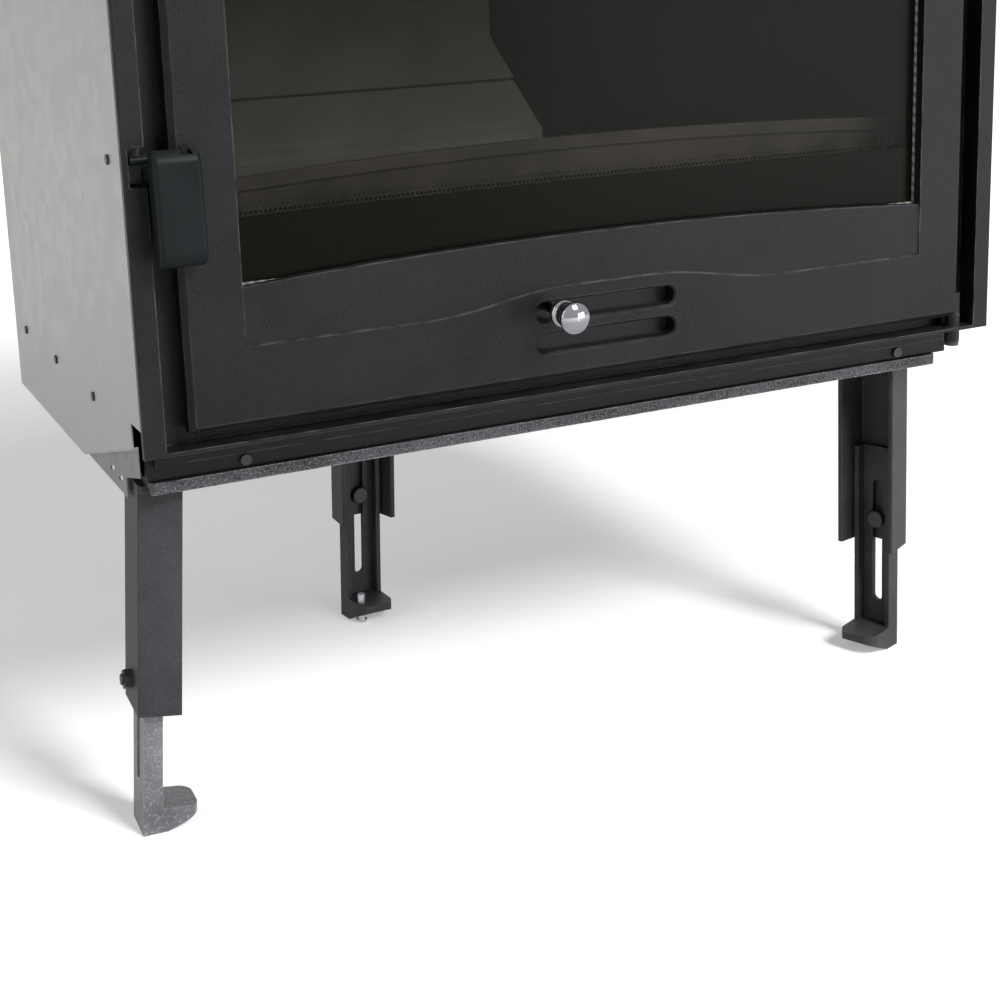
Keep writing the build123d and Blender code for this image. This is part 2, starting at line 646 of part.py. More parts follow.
with BuildPart() as handle_pin:
    rod(
        (HANDLE_PIN_LEFT, HANDLE_PIVOT_DEPTH, HANDLE_PIVOT_Z),
        (HANDLE_PIN_RIGHT, HANDLE_PIVOT_DEPTH, HANDLE_PIVOT_Z), HANDLE_PIN_R,
    )

# Latch cam: an arm from the hub through the gap, and a finger in the frame's pocket
with BuildPart() as latch_cam:
    block(CAM_LEFT, CAM_RIGHT, CAM_FRONT, FINGER_DEPTH, CAM_LOW, CAM_TOP)
    rod((FINGER_LEFT, FINGER_DEPTH, FINGER_Z), (CAM_RIGHT, FINGER_DEPTH, FINGER_Z), FINGER_R)

# Apron behind the frame, with a mouth for the ash pan
with BuildPart() as base_apron:
    block(
        -FRAME_INNER_HALF - APRON_SPARE, FRAME_INNER_HALF + APRON_SPARE,
        THROAT_BACK, APRON_BACK, PLATE_TOP, HEARTH_LOW,
    )
    block(
        -PAN_HALF - 4, PAN_HALF + 4, THROAT_BACK - 1, APRON_BACK + 1,
        SHELF_LOW + SHELF_THICK, HEARTH_LOW - 6, mode=Mode.SUBTRACT,
    )
    block(-FRAME_INNER_HALF, FRAME_INNER_HALF, BEAD_FRONT, THROAT_BACK, BEAD_LOW, BEAD_TOP)
    fillet(base_apron.edges().filter_by(Axis.X).group_by(Axis.Y)[1], radius=BEAD_ROUND)
    for x, z in APRON_SCREWS:
        rod(
            (x, THROAT_BACK - 1, z), (x, THROAT_BACK + SCREW_BITE - 1, z),
            SCREW_CORE_R, mode=Mode.SUBTRACT,
        )

with BuildPart() as apron_screws:
    for x, z in APRON_SCREWS:
        rod((x, THROAT_BACK, z), (x, THROAT_BACK + SCREW_BITE - 1, z), SCREW_CORE_R)
        rod((x, THROAT_BACK - APRON_SCREW_HEAD, z), (x, THROAT_BACK, z), SCREW_HEAD_R)

# Base plate with a rough lip that hangs along its front
with BuildPart() as base_plate:
    block(PLATE_LEFT, PLATE_RIGHT, PLATE_FRONT, PLATE_BACK, PLATE_UNDER, PLATE_TOP)
    block(PLATE_LEFT, PLATE_RIGHT, PLATE_FRONT, LIP_BACK, PLATE_LOW, PLATE_UNDER)
    fillet(base_plate.edges().filter_by(Axis.Z), radius=PLATE_ROUND)
    for leg in LEGS:
        with BuildSketch(level_plane(leg, PLATE_UNDER)):
            with Locations((TAB_BOLT_REACH, 0)):
                Circle(BOLT_R)
        extrude(amount=PLATE_TOP - PLATE_UNDER, mode=Mode.SUBTRACT)

# Base box under the hearth, with the shelf that carries the ash pan
PAN_LOW = SHELF_LOW + SHELF_THICK
with BuildPart() as base_box:
    with BuildSketch(at_height(PLATE_TOP)):
        rect(-BOX_HALF, APRON_BACK, BOX_HALF, BOX_BACK)
        rect(-BOX_HALF + BOX_WALL, APRON_BACK, BOX_HALF - BOX_WALL, BOX_BACK - BOX_WALL, mode=Mode.SUBTRACT)
    extrude(amount=HEARTH_LOW - PLATE_TOP)
    block(-BOX_HALF + 1, BOX_HALF - 1, APRON_BACK, BOX_BACK - 1, SHELF_LOW, PAN_LOW)

# Ash pan with a front plate and a bow handle
with BuildPart() as ash_pan:
    block(-PAN_HALF, PAN_HALF, THROAT_BACK, PAN_BACK, PAN_LOW, PAN_TOP)
    fillet(ash_pan.edges().filter_by(Axis.Z).group_by(Axis.Y)[-1], radius=PAN_ROUND)
    block(
        -PAN_HALF + PAN_WALL, PAN_HALF - PAN_WALL, THROAT_BACK + PAN_WALL, PAN_BACK - PAN_WALL,
        PAN_LOW + PAN_WALL, PAN_TOP, mode=Mode.SUBTRACT,
    )
    block(
        -PAN_HALF - PAN_LIP, PAN_HALF + PAN_LIP, THROAT_BACK - PAN_FACE, THROAT_BACK,
        PAN_LOW + 1, HEARTH_LOW - 4,
    )

BOW_ROOT = THROAT_BACK - PAN_FACE
with BuildPart() as pan_handle:
    with BuildLine(at_height(BOW_Z)):
        FilletPolyline(
            (-BOW_HALF, BOW_ROOT), (-BOW_HALF, BOW_ROOT - BOW_REACH),
            (BOW_HALF, BOW_ROOT - BOW_REACH), (BOW_HALF, BOW_ROOT), radius=BOW_ROUND,
        )
    with BuildSketch(Plane(origin=(MIDDLE - BOW_HALF, FACE + BOW_ROOT, BOW_Z), z_dir=(0, -1, 0))):
        Circle(BOW_R)
    sweep()

# Hearth plate with an opening for the grate
with BuildPart() as hearth_plate:
    with BuildSketch(at_height(HEARTH_LOW)):
        rect(-BOX_HALF, THROAT_BACK, BOX_HALF, BOX_BACK)
        rect(
            -GRATE_HALF + GRATE_LEDGE, GRATE_FRONT + GRATE_LEDGE,
            GRATE_HALF - GRATE_LEDGE, GRATE_BACK - GRATE_LEDGE, mode=Mode.SUBTRACT,
        )
    extrude(amount=HEARTH_TOP - HEARTH_LOW)
    block(
        -GRATE_HALF, GRATE_HALF, GRATE_FRONT, GRATE_BACK,
        HEARTH_LOW + GRATE_REST, HEARTH_TOP, mode=Mode.SUBTRACT,
    )

# Grate: bars from front to back inside a rim
GRATE_SLOTS = 7
GRATE_SLOT_WIDTH = 13.0
GRATE_PITCH = 27.0
GRATE_SLOT_LONG = GRATE_BACK - GRATE_FRONT - 2 * GRATE_RIM
with BuildPart() as grate:
    with BuildSketch(at_height(HEARTH_LOW + GRATE_REST)):
        rect(
            -GRATE_HALF + GRATE_FIT, GRATE_FRONT + GRATE_FIT,
            GRATE_HALF - GRATE_FIT, GRATE_BACK - GRATE_FIT,
        )
        with Locations((0, (GRATE_FRONT + GRATE_BACK) / 2)):
            with GridLocations(GRATE_PITCH, 1, GRATE_SLOTS, 1):
                SlotOverall(GRATE_SLOT_LONG, GRATE_SLOT_WIDTH, rotation=90, mode=Mode.SUBTRACT)
    extrude(amount=GRATE_THICK)
    fillet(grate.faces().sort_by(Axis.Z)[-1].outer_wire().edges(), radius=GRATE_ROUND)

# Log retainer: an upright plate with an arched top edge and a raised rim along it
with BuildPart() as log_retainer:
    with BuildSketch(at_depth(RETAINER_FRONT + RETAINER_THICK)):
        window_outline(RETAINER_HALF, RETAINER_END_Z, RETAINER_CROWN_Z, HEARTH_TOP)
    extrude(amount=RETAINER_THICK)
    with BuildSketch(at_depth(RETAINER_FRONT)):
        window_outline(
            RETAINER_HALF - RETAINER_RIM, RETAINER_END_Z - RETAINER_RIM,
            RETAINER_CROWN_Z - RETAINER_RIM, HEARTH_TOP + RETAINER_RIM,
        )
    extrude(amount=-RETAINER_RECESS, mode=Mode.SUBTRACT)

# Fire back in two castings, stepped at its foot and drawn in at its upper corners
BACK_FRONT = 364.0
BACK_STEP = 5.0
BACK_LEFT = -179.0
BACK_LOW_X = 127.0
BACK_JOINT_X = 102.0
BACK_HIGH_X = 79.0
BACK_STEP_LOW_Z = 435.0
BACK_STEP_Z = 446.0
BACK_JOINT_LOW_Z = 488.0
BACK_JOINT_TOP_Z = 491.0
BACK_BEVEL_Z = 530.0
BACK_TOP_Z = 760.0
with BuildPart() as fire_back_lower:
    with BuildSketch(at_depth(WALL_REAR_DEPTH)):
        Polygon(
            (BACK_LEFT, HEARTH_TOP), (BACK_LOW_X, HEARTH_TOP), (BACK_LOW_X, BACK_STEP_Z),
            (BACK_JOINT_X, BACK_JOINT_LOW_Z), (BACK_LEFT, BACK_JOINT_LOW_Z), align=None,
        )
    extrude(amount=WALL_REAR_DEPTH - BACK_FRONT)
    block(BACK_LEFT, BACK_LOW_X, BACK_FRONT - BACK_STEP, BACK_FRONT, HEARTH_TOP, BACK_STEP_Z)
    block(
        BACK_LEFT, BACK_LOW_X, BACK_FRONT - 2 * BACK_STEP, BACK_FRONT - BACK_STEP,
        HEARTH_TOP, BACK_STEP_LOW_Z,
    )

with BuildPart() as fire_back_upper:
    with BuildSketch(at_depth(WALL_REAR_DEPTH)):
        Polygon(
            (BACK_LEFT, BACK_JOINT_TOP_Z), (BACK_JOINT_X, BACK_JOINT_TOP_Z), (BACK_HIGH_X, BACK_BEVEL_Z),
            (BACK_HIGH_X, BACK_TOP_Z), (BACK_LEFT, BACK_TOP_Z), align=None,
        )
    extrude(amount=WALL_REAR_DEPTH - BACK_FRONT)
    block(
        BACK_LEFT, BACK_JOINT_X, BACK_FRONT + BACK_STEP, WALL_REAR_DEPTH,
        BACK_JOINT_LOW_Z, BACK_JOINT_TOP_Z,
    )

with BuildPart() as firebox_back:
    block(-WALL_REAR_X, WALL_REAR_X, WALL_REAR_DEPTH, WALL_REAR_DEPTH + WALL_THICK, HEARTH_TOP, FIREBOX_TOP)

# Firebox sides: they run in towards the back and carry the baffle on two lugs each
def wall_x(depth):
    run = (depth - WALL_FRONT_DEPTH) / (WALL_REAR_DEPTH - WALL_FRONT_DEPTH)
    return WALL_FRONT_X + run * (WALL_REAR_X - WALL_FRONT_X)


with BuildPart() as firebox_side_right:
    with BuildSketch(at_height(HEARTH_TOP)):
        Polygon(
            (THROAT_HALF, THROAT_BACK), (THROAT_HALF + WALL_THICK, THROAT_BACK),
            (WALL_FRONT_X + WALL_THICK, WALL_FRONT_DEPTH + 3),
            (WALL_REAR_X + WALL_THICK, WALL_REAR_DEPTH + 3),
            (WALL_REAR_X, WALL_REAR_DEPTH), (WALL_FRONT_X, WALL_FRONT_DEPTH), align=None,
        )
    extrude(amount=FIREBOX_TOP - HEARTH_TOP)
    with BuildSketch(at_height(BAFFLE_REST_Z - LUG_THICK)):
        for depth in LUG_DEPTHS:
            with Locations((wall_x(depth), depth)):
                Rectangle(LUG_LONG, LUG_WIDE)
    extrude(amount=LUG_THICK)

with BuildPart() as firebox_side_left:
    mirror(firebox_side_right.part, about=Plane.YZ.offset(MIDDLE))

# Baffle: a board laid on the lugs, as wide as the walls leave it
with BuildPart() as baffle:
    with BuildSketch(at_height(BAFFLE_REST_Z)):
        Polygon(
            (BAFFLE_FIT - wall_x(BAFFLE_FRONT), BAFFLE_FRONT),
            (wall_x(BAFFLE_FRONT) - BAFFLE_FIT, BAFFLE_FRONT),
            (wall_x(BAFFLE_BACK) - BAFFLE_FIT, BAFFLE_BACK),
            (BAFFLE_FIT - wall_x(BAFFLE_BACK), BAFFLE_BACK), align=None,
        )
    extrude(amount=BAFFLE_THICK)

# Firebox top with the flue hole, and the collar over it
COLLAR_LOW = FIREBOX_TOP + WALL_THICK
TOP_FRONT_X = 304.0
TOP_REAR_X = 192.0
with BuildPart() as firebox_top:
    with BuildSketch(at_height(FIREBOX_TOP)):
        Polygon(
            (-TOP_FRONT_X, TRAY_BACK + THROAT_WALL), (TOP_FRONT_X, TRAY_BACK + THROAT_WALL),
            (TOP_FRONT_X, WALL_FRONT_DEPTH + THROAT_WALL), (TOP_REAR_X, WALL_REAR_DEPTH + WALL_THICK),
            (-TOP_REAR_X, WALL_REAR_DEPTH + WALL_THICK), (-TOP_FRONT_X, WALL_FRONT_DEPTH + THROAT_WALL),
            align=None,
        )
        with Locations((0, FLUE_DEPTH)):
            Circle(FLUE_R + FLUE_HOLE_SPARE, mode=Mode.SUBTRACT)
            with PolarLocations(COLLAR_BOLT_RING, COLLAR_BOLTS, start_angle=30):
                Circle(COLLAR_BOLT_R, mode=Mode.SUBTRACT)
    extrude(amount=WALL_THICK)

with BuildPart() as flue_collar:
    with BuildSketch(at_height(COLLAR_LOW)):
        with Locations((0, FLUE_DEPTH)):
            Circle(FLUE_FLANGE_R)
            Circle(FLUE_R, mode=Mode.SUBTRACT)
            with PolarLocations(COLLAR_BOLT_RING, COLLAR_BOLTS, start_angle=30):
                Circle(COLLAR_BOLT_R, mode=Mode.SUBTRACT)
    extrude(amount=FLUE_FLANGE)
    with BuildSketch(at_height(COLLAR_LOW)):
        with Locations((0, FLUE_DEPTH)):
            Circle(FLUE_R + FLUE_WALL)
            Circle(FLUE_R, mode=Mode.SUBTRACT)
    extrude(amount=FLUE_TOP - COLLAR_LOW)
    fillet(flue_collar.edges().filter_by(GeomType.CIRCLE).group_by(Axis.Z)[-1], radius=FLUE_ROUND)

with BuildPart() as collar_screws:
    with BuildSketch(at_height(FIREBOX_TOP)):
        with Locations((0, FLUE_DEPTH)):
            with PolarLocations(COLLAR_BOLT_RING, COLLAR_BOLTS, start_angle=30):
                Circle(COLLAR_BOLT_R)
    extrude(amount=COLLAR_LOW + FLUE_FLANGE - FIREBOX_TOP)
    with BuildSketch(at_height(COLLAR_LOW + FLUE_FLANGE)):
        with Locations((0, FLUE_DEPTH)):
            with PolarLocations(COLLAR_BOLT_RING, COLLAR_BOLTS, start_angle=30):
                RegularPolygon(COLLAR_HEAD_R, 6)
    extrude(amount=COLLAR_HEAD)

# Casing: sheet sides with a lower front corner set inwards, a rear sheet and a top sheet
SIDE_SCREWS = [
    (141, 309.4), (266, 309.4), (382.6, 309.4), (36.5, 494),
    (36.5, 680), (141, 850), (266, 850), (382.6, 850),
]
REAR_SCREWS = [(x, z) for x in (-300, 0, 300) for z in (280, 560, 850)]


def crease_z(depth):
    run = (depth - CREASE_FRONT[0]) / (CREASE_BACK[0] - CREASE_FRONT[0])
    return CREASE_FRONT[1] + run * (CREASE_BACK[1] - CREASE_FRONT[1])


with BuildPart() as casing_right:
    with BuildSketch(at_side(CASING_HALF - SHEET)):
        Polygon(
            (FRAME_PLATE, CASING_TOP), (FRAME_PLATE, NOTCH_TOP), (NOTCH_BACK, NOTCH_TOP),
            (NOTCH_BACK, crease_z(NOTCH_BACK)), CREASE_BACK,
            (CASING_BACK, CASING_LOW), (CASING_BACK, CASING_TOP), align=None,
        )
        with Locations(*SIDE_SCREWS):
            Circle(SHEET_SCREW_R, mode=Mode.SUBTRACT)
    extrude(amount=SHEET)
    with BuildSketch(at_side(CASING_HALF - SKIRT_INSET - SHEET)):
        Polygon(
            (NOTCH_BACK, crease_z(NOTCH_BACK)), (NOTCH_BACK, SKIRT_FRONT_Z), SKIRT_LEG,
            (SKIRT_LEG[0], CASING_LOW), CREASE_BACK, align=None,
        )
        with Locations(*SKIRT_SLOTS):
            SlotOverall(SKIRT_SLOT_LONG, SKIRT_SLOT_WIDE, rotation=SKIRT_SLOT_TURN, mode=Mode.SUBTRACT)
    extrude(amount=SHEET)
    with BuildSketch(at_side(CASING_HALF - SKIRT_INSET - SHEET)):
        Polygon(
            (NOTCH_BACK, crease_z(NOTCH_BACK) - SHEET), (NOTCH_BACK, crease_z(NOTCH_BACK) + SHEET),
            (CREASE_BACK[0], CREASE_BACK[1] + SHEET), (CREASE_BACK[0] - SHEET, CREASE_BACK[1]), align=None,
        )
    extrude(amount=SKIRT_INSET + SHEET)

with BuildPart() as casing_left:
    mirror(casing_right.part, about=Plane.YZ.offset(MIDDLE))

with BuildPart() as casing_rear:
    with BuildSketch(at_depth(CASING_BACK)):
        rect(-CASING_HALF + SHEET, CASING_LOW, CASING_HALF - SHEET, CASING_TOP - SHEET)
        with Locations(*REAR_SCREWS):
            Circle(SHEET_SCREW_R, mode=Mode.SUBTRACT)
    extrude(amount=SHEET)

with BuildPart() as casing_top:
    with BuildSketch(at_height(CASING_TOP - SHEET)):
        rect(-CASING_HALF + SHEET, FRAME_PLATE, CASING_HALF - SHEET, CASING_BACK)
        with Locations((0, FLUE_DEPTH)):
            Circle(FLUE_R + FLUE_WALL + COLLAR_GAP, mode=Mode.SUBTRACT)
    extrude(amount=SHEET)
    block(
        -CASING_HALF + SHEET, CASING_HALF - SHEET, FRAME_PLATE, FRAME_PLATE + SHEET,
        FRAME_TOP, CASING_TOP - SHEET,
    )

with BuildPart() as casing_screws:
    for side in (-1, 1):
        for depth, z in SIDE_SCREWS:
            inner = (side * (CASING_HALF - SHEET_BITE), depth, z)
            skin = (side * CASING_HALF, depth, z)
            outer = (side * (CASING_HALF + SHEET_HEAD), depth, z)
            rod(inner, skin, SHEET_SCREW_R)
            rod(skin, outer, SHEET_HEAD_R)
    for x, z in REAR_SCREWS:
        rod((x, CASING_BACK - SHEET_BITE, z), (x, CASING_BACK, z), SHEET_SCREW_R)
        rod((x, CASING_BACK, z), (x, CASING_BACK + SHEET_HEAD, z), SHEET_HEAD_R)


# Leg bracket: a channel with splayed flanges and a tab under the base plate
def leg_bracket(leg):
    half = BRACKET_WIDTH / 2
    reach = BRACKET_FLANGE * cos(radians(BRACKET_SPLAY))
    spread = BRACKET_FLANGE * sin(radians(BRACKET_SPLAY))
    with BuildPart() as bracket:
        with BuildSketch(leg_plane(leg, BRACKET_LOW)):
            Polygon(
                (0, -half), (reach, -half - spread), (reach, -half - spread + BRACKET_WALL),
                (BRACKET_WALL, -half + BRACKET_WALL), (BRACKET_WALL, half - BRACKET_WALL),
                (reach, half + spread - BRACKET_WALL), (reach, half + spread), (0, half), align=None,
            )
        extrude(amount=PLATE_UNDER - BRACKET_LOW + SOLE_SPARE)
        fillet(bracket.edges().filter_by(Axis((0, 0, 0), leg_plane(leg, 0).z_dir)), radius=BRACKET_ROUND)
        split(bisect_by=Plane.XY.offset(PLATE_UNDER), keep=Keep.BOTTOM)
        with BuildSketch(level_plane(leg, TAB_LOW)):
            rect(1, -half - TAB_SPARE, reach + TAB_REACH, half + TAB_SPARE)
            with Locations((TAB_BOLT_REACH, 0)):
                Circle(BOLT_R, mode=Mode.SUBTRACT)
        extrude(amount=PLATE_UNDER - TAB_LOW)
        with Locations(leg_plane(leg, CLAMP_Z)):
            Cylinder(BOLT_R, 20, rotation=(0, 90, 0), mode=Mode.SUBTRACT)
    return bracket.part


# Foot: a narrow slotted channel inside the bracket, on a low toe with a level sole that lifts at its tip
def leg_foot(leg):
    web = BRACKET_WALL + FOOT_GAP
    with BuildPart() as foot:
        home = leg_plane(leg, 0)
        flank = home.from_local_coords((0, FOOT_HALF, 0))
        with BuildSketch(Plane(origin=flank, x_dir=home.x_dir, z_dir=-home.y_dir)):
            Polygon(
                (web, -SOLE_SPARE), (web + TOE_RUN, -SOLE_SPARE), (web + TOE_RUN, 0),
                (web + TOE_LENGTH, TOE_RISE), (web + TOE_LENGTH, TOE_TOP), (web, TOE_TOP + 2), align=None,
            )
        extrude(amount=2 * FOOT_HALF)
        with BuildSketch(leg_plane(leg, -SOLE_SPARE)):
            rect(web + 10, -FOOT_HALF - 1, web + TOE_LENGTH + 1, FOOT_HALF + 1)
            with Locations((web, 0)):
                RectangleRounded(2 * TOE_LENGTH, 2 * FOOT_HALF, NOSE_R, mode=Mode.SUBTRACT)
        extrude(amount=TOE_TOP + 4 * SOLE_SPARE, mode=Mode.SUBTRACT)
        with BuildSketch(leg_plane(leg, 0)):
            rect(web, -FOOT_HALF, web + FOOT_FLANGE, FOOT_HALF)
            rect(
                web + FOOT_WALL, -FOOT_HALF + FOOT_CHEEK, web + FOOT_FLANGE, FOOT_HALF - FOOT_CHEEK,
                mode=Mode.SUBTRACT,
            )
        extrude(amount=FOOT_TOP)
        with BuildSketch(Plane(
            origin=home.from_local_coords((web - 1, 0, (FOOT_SLOT_LOW + FOOT_SLOT_TOP) / 2)),
            x_dir=home.z_dir, z_dir=home.x_dir,
        )):
            SlotOverall(FOOT_SLOT_TOP - FOOT_SLOT_LOW, FOOT_SLOT_WIDTH)
        extrude(amount=FOOT_WALL + 2, mode=Mode.SUBTRACT)
        split(bisect_by=Plane.XY, keep=Keep.TOP)
        if leg == "rear":
            with Locations(leg_plane(leg, 0).location * Location((LEVEL_REACH, LEVEL_SIDE, 0))):
                Cylinder(LEVEL_R, 4 * LEVEL_LENGTH, mode=Mode.SUBTRACT)
    return foot.part


# Levelling screw through the toe of the rear foot, head down
with BuildPart() as levelling_screw:
    with BuildSketch(leg_plane("rear", LEVEL_HEAD_LOW + LEVEL_HEAD)):
        with Locations((LEVEL_REACH, LEVEL_SIDE)):
            Circle(LEVEL_R)
    extrude(amount=LEVEL_LENGTH)
    with BuildSketch(leg_plane("rear", LEVEL_HEAD_LOW)):
        with Locations((LEVEL_REACH, LEVEL_SIDE)):
            Circle(LEVEL_HEAD_R)
    extrude(amount=LEVEL_HEAD)


# Clamp bolt across the bracket's web: round head inside, nut outside
def clamp_plane(leg, reach):
    home = leg_plane(leg, CLAMP_Z)
    return Plane(origin=home.from_local_coords((reach, 0, 0)), x_dir=home.z_dir, z_dir=home.x_dir)


HEAD_REACH = BRACKET_WALL + 2 * FOOT_GAP + FOOT_WALL
with BuildPart() as leg_bolts:
    for leg in LEGS:
        with BuildSketch(clamp_plane(leg, -CLAMP_END)):
            Circle(BOLT_R)
        extrude(amount=HEAD_REACH + CLAMP_END)
        with BuildSketch(clamp_plane(leg, HEAD_REACH)):
            Circle(CLAMP_HEAD_R)
        extrude(amount=CLAMP_HEAD)
    rims = leg_bolts.edges().filter_by(GeomType.CIRCLE).filter_by(lambda edge: edge.radius > BOLT_R + 1)
    fillet(rims, radius=CLAMP_HEAD_ROUND)

with BuildPart() as leg_nuts:
    for leg in LEGS:
        with BuildSketch(clamp_plane(leg, -CLAMP_NUT)):
            RegularPolygon(HEX_FLAT, 6, major_radius=False)
            Circle(BOLT_R, mode=Mode.SUBTRACT)
        extrude(amount=CLAMP_NUT)

# Bolts that hold the bracket tabs to the base plate
with BuildPart() as leg_mount_bolts:
    for leg in LEGS:
        with BuildSketch(level_plane(leg, TAB_LOW)):
            with Locations((TAB_BOLT_REACH, 0)):
                Circle(BOLT_R)
        extrude(amount=PLATE_TOP - TAB_LOW - TAB_BOLT_SHORT)
        with BuildSketch(level_plane(leg, TAB_LOW - HEX_THICK)):
            with Locations((TAB_BOLT_REACH, 0)):
                RegularPolygon(HEX_FLAT, 6, major_radius=False)
        extrude(amount=HEX_THICK)

pieces = {
    "front_frame": front_frame.part,
    "hinge_pin_lower": hinge_pin_lower.part,
    "hinge_pin_upper": hinge_pin_upper.part,
    "latch_keeper": latch_keeper.part,
    "base_apron": base_apron.part,
    "apron_screws": apron_screws.part,
    "base_plate": base_plate.part,
    "base_box": base_box.part,
    "hearth_plate": hearth_plate.part,
    "grate": grate.part,
    "ash_pan": ash_pan.part,
    "pan_handle": pan_handle.part,
    "log_retainer": log_retainer.part,
    "fire_back_lower": fire_back_lower.part,
    "fire_back_upper": fire_back_upper.part,
    "firebox_back": firebox_back.part,
    "firebox_side_left": firebox_side_left.part,
    "firebox_side_right": firebox_side_right.part,
    "firebox_top": firebox_top.part,
    "baffle": baffle.part,
    "flue_collar": flue_collar.part,
    "collar_screws": collar_screws.part,
    "casing_left": casing_left.part,
    "casing_right": casing_right.part,
    "casing_rear": casing_rear.part,
    "casing_top": casing_top.part,
    "casing_screws": casing_screws.part,
    "leg_bolts": leg_bolts.part,
    "leg_nuts": leg_nuts.part,
    "leg_mount_bolts": leg_mount_bolts.part,
    "levelling_screw": levelling_screw.part,
    "door_frame": door_frame.part,
    "door_glass": door_glass.part,
    "glass_seal": glass_seal.part,
    "glass_clips": glass_clips.part,
    "clip_screws": clip_screws.part,
    "door_seal": door_seal.part,
    "slider_guide": slider_guide.part,
    "guide_screws": guide_screws.part,
    "handle_pin": handle_pin.part,
    "door_handle": door_handle.part,
    "latch_cam": latch_cam.part,
    "air_shutter": air_shutter.part,
    "knob_stem": knob_stem.part,
    "air_knob": air_knob.part,
}
for leg in LEGS:
    pieces["leg_bracket_" + leg] = leg_bracket(leg)
    pieces["foot_" + leg] = leg_foot(leg)

os.makedirs("parts", exist_ok=True)
for name, piece in pieces.items():
    piece.label = name
    export_step(piece, "parts/" + name + ".step")
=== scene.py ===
"""Dresses a cast iron fireplace insert on three legs: its finishes, the print on its glass and a studio."""

import logging
import math
from dataclasses import dataclass, field
from enum import Enum
from typing import Callable, Iterable, Optional, Union

import bpy
from mathutils import Matrix, Vector


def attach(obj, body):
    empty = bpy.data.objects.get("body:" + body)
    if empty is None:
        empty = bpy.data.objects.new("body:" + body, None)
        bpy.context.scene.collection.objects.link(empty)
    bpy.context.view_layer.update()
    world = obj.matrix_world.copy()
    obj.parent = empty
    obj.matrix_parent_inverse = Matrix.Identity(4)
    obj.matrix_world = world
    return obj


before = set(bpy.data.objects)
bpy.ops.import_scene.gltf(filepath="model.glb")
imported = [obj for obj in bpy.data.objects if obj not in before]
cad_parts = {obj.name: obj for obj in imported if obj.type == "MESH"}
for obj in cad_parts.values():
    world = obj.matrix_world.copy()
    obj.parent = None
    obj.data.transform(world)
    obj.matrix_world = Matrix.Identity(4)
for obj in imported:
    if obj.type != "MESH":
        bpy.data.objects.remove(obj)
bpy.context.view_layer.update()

log = logging.getLogger("insert")
logging.basicConfig(level=logging.INFO, format="%(name)s %(message)s")

Colour = tuple[float, float, float]
Point = tuple[float, float, float]
Span = tuple[float, float]
Value = Union[bpy.types.NodeSocket, float, Colour]

# The front frame's middle across and its face in depth, in metres
MIDDLE_X: float = 0.00495
FACE_Y: float = -0.19425

# Faces of a new piece that meet at less than this are shaded as one
SMOOTH_BELOW: float = math.radians(32)

# The parts of a noise's range that hold nearly all of it, and most of it
NOISE_ALL: Span = (0.2, 0.8)
NOISE_MOST: Span = (0.3, 0.7)


class Body(Enum):
    """The moving groups of the insert, as the frame names them."""

    INSERT = "insert"
    DOOR = "door"
    HANDLE = "handle"
    AIR = "air_control"
    LEFT_FOOT = "left_foot"
    RIGHT_FOOT = "right_foot"
    REAR_FOOT = "rear_foot"


# Shader wiring


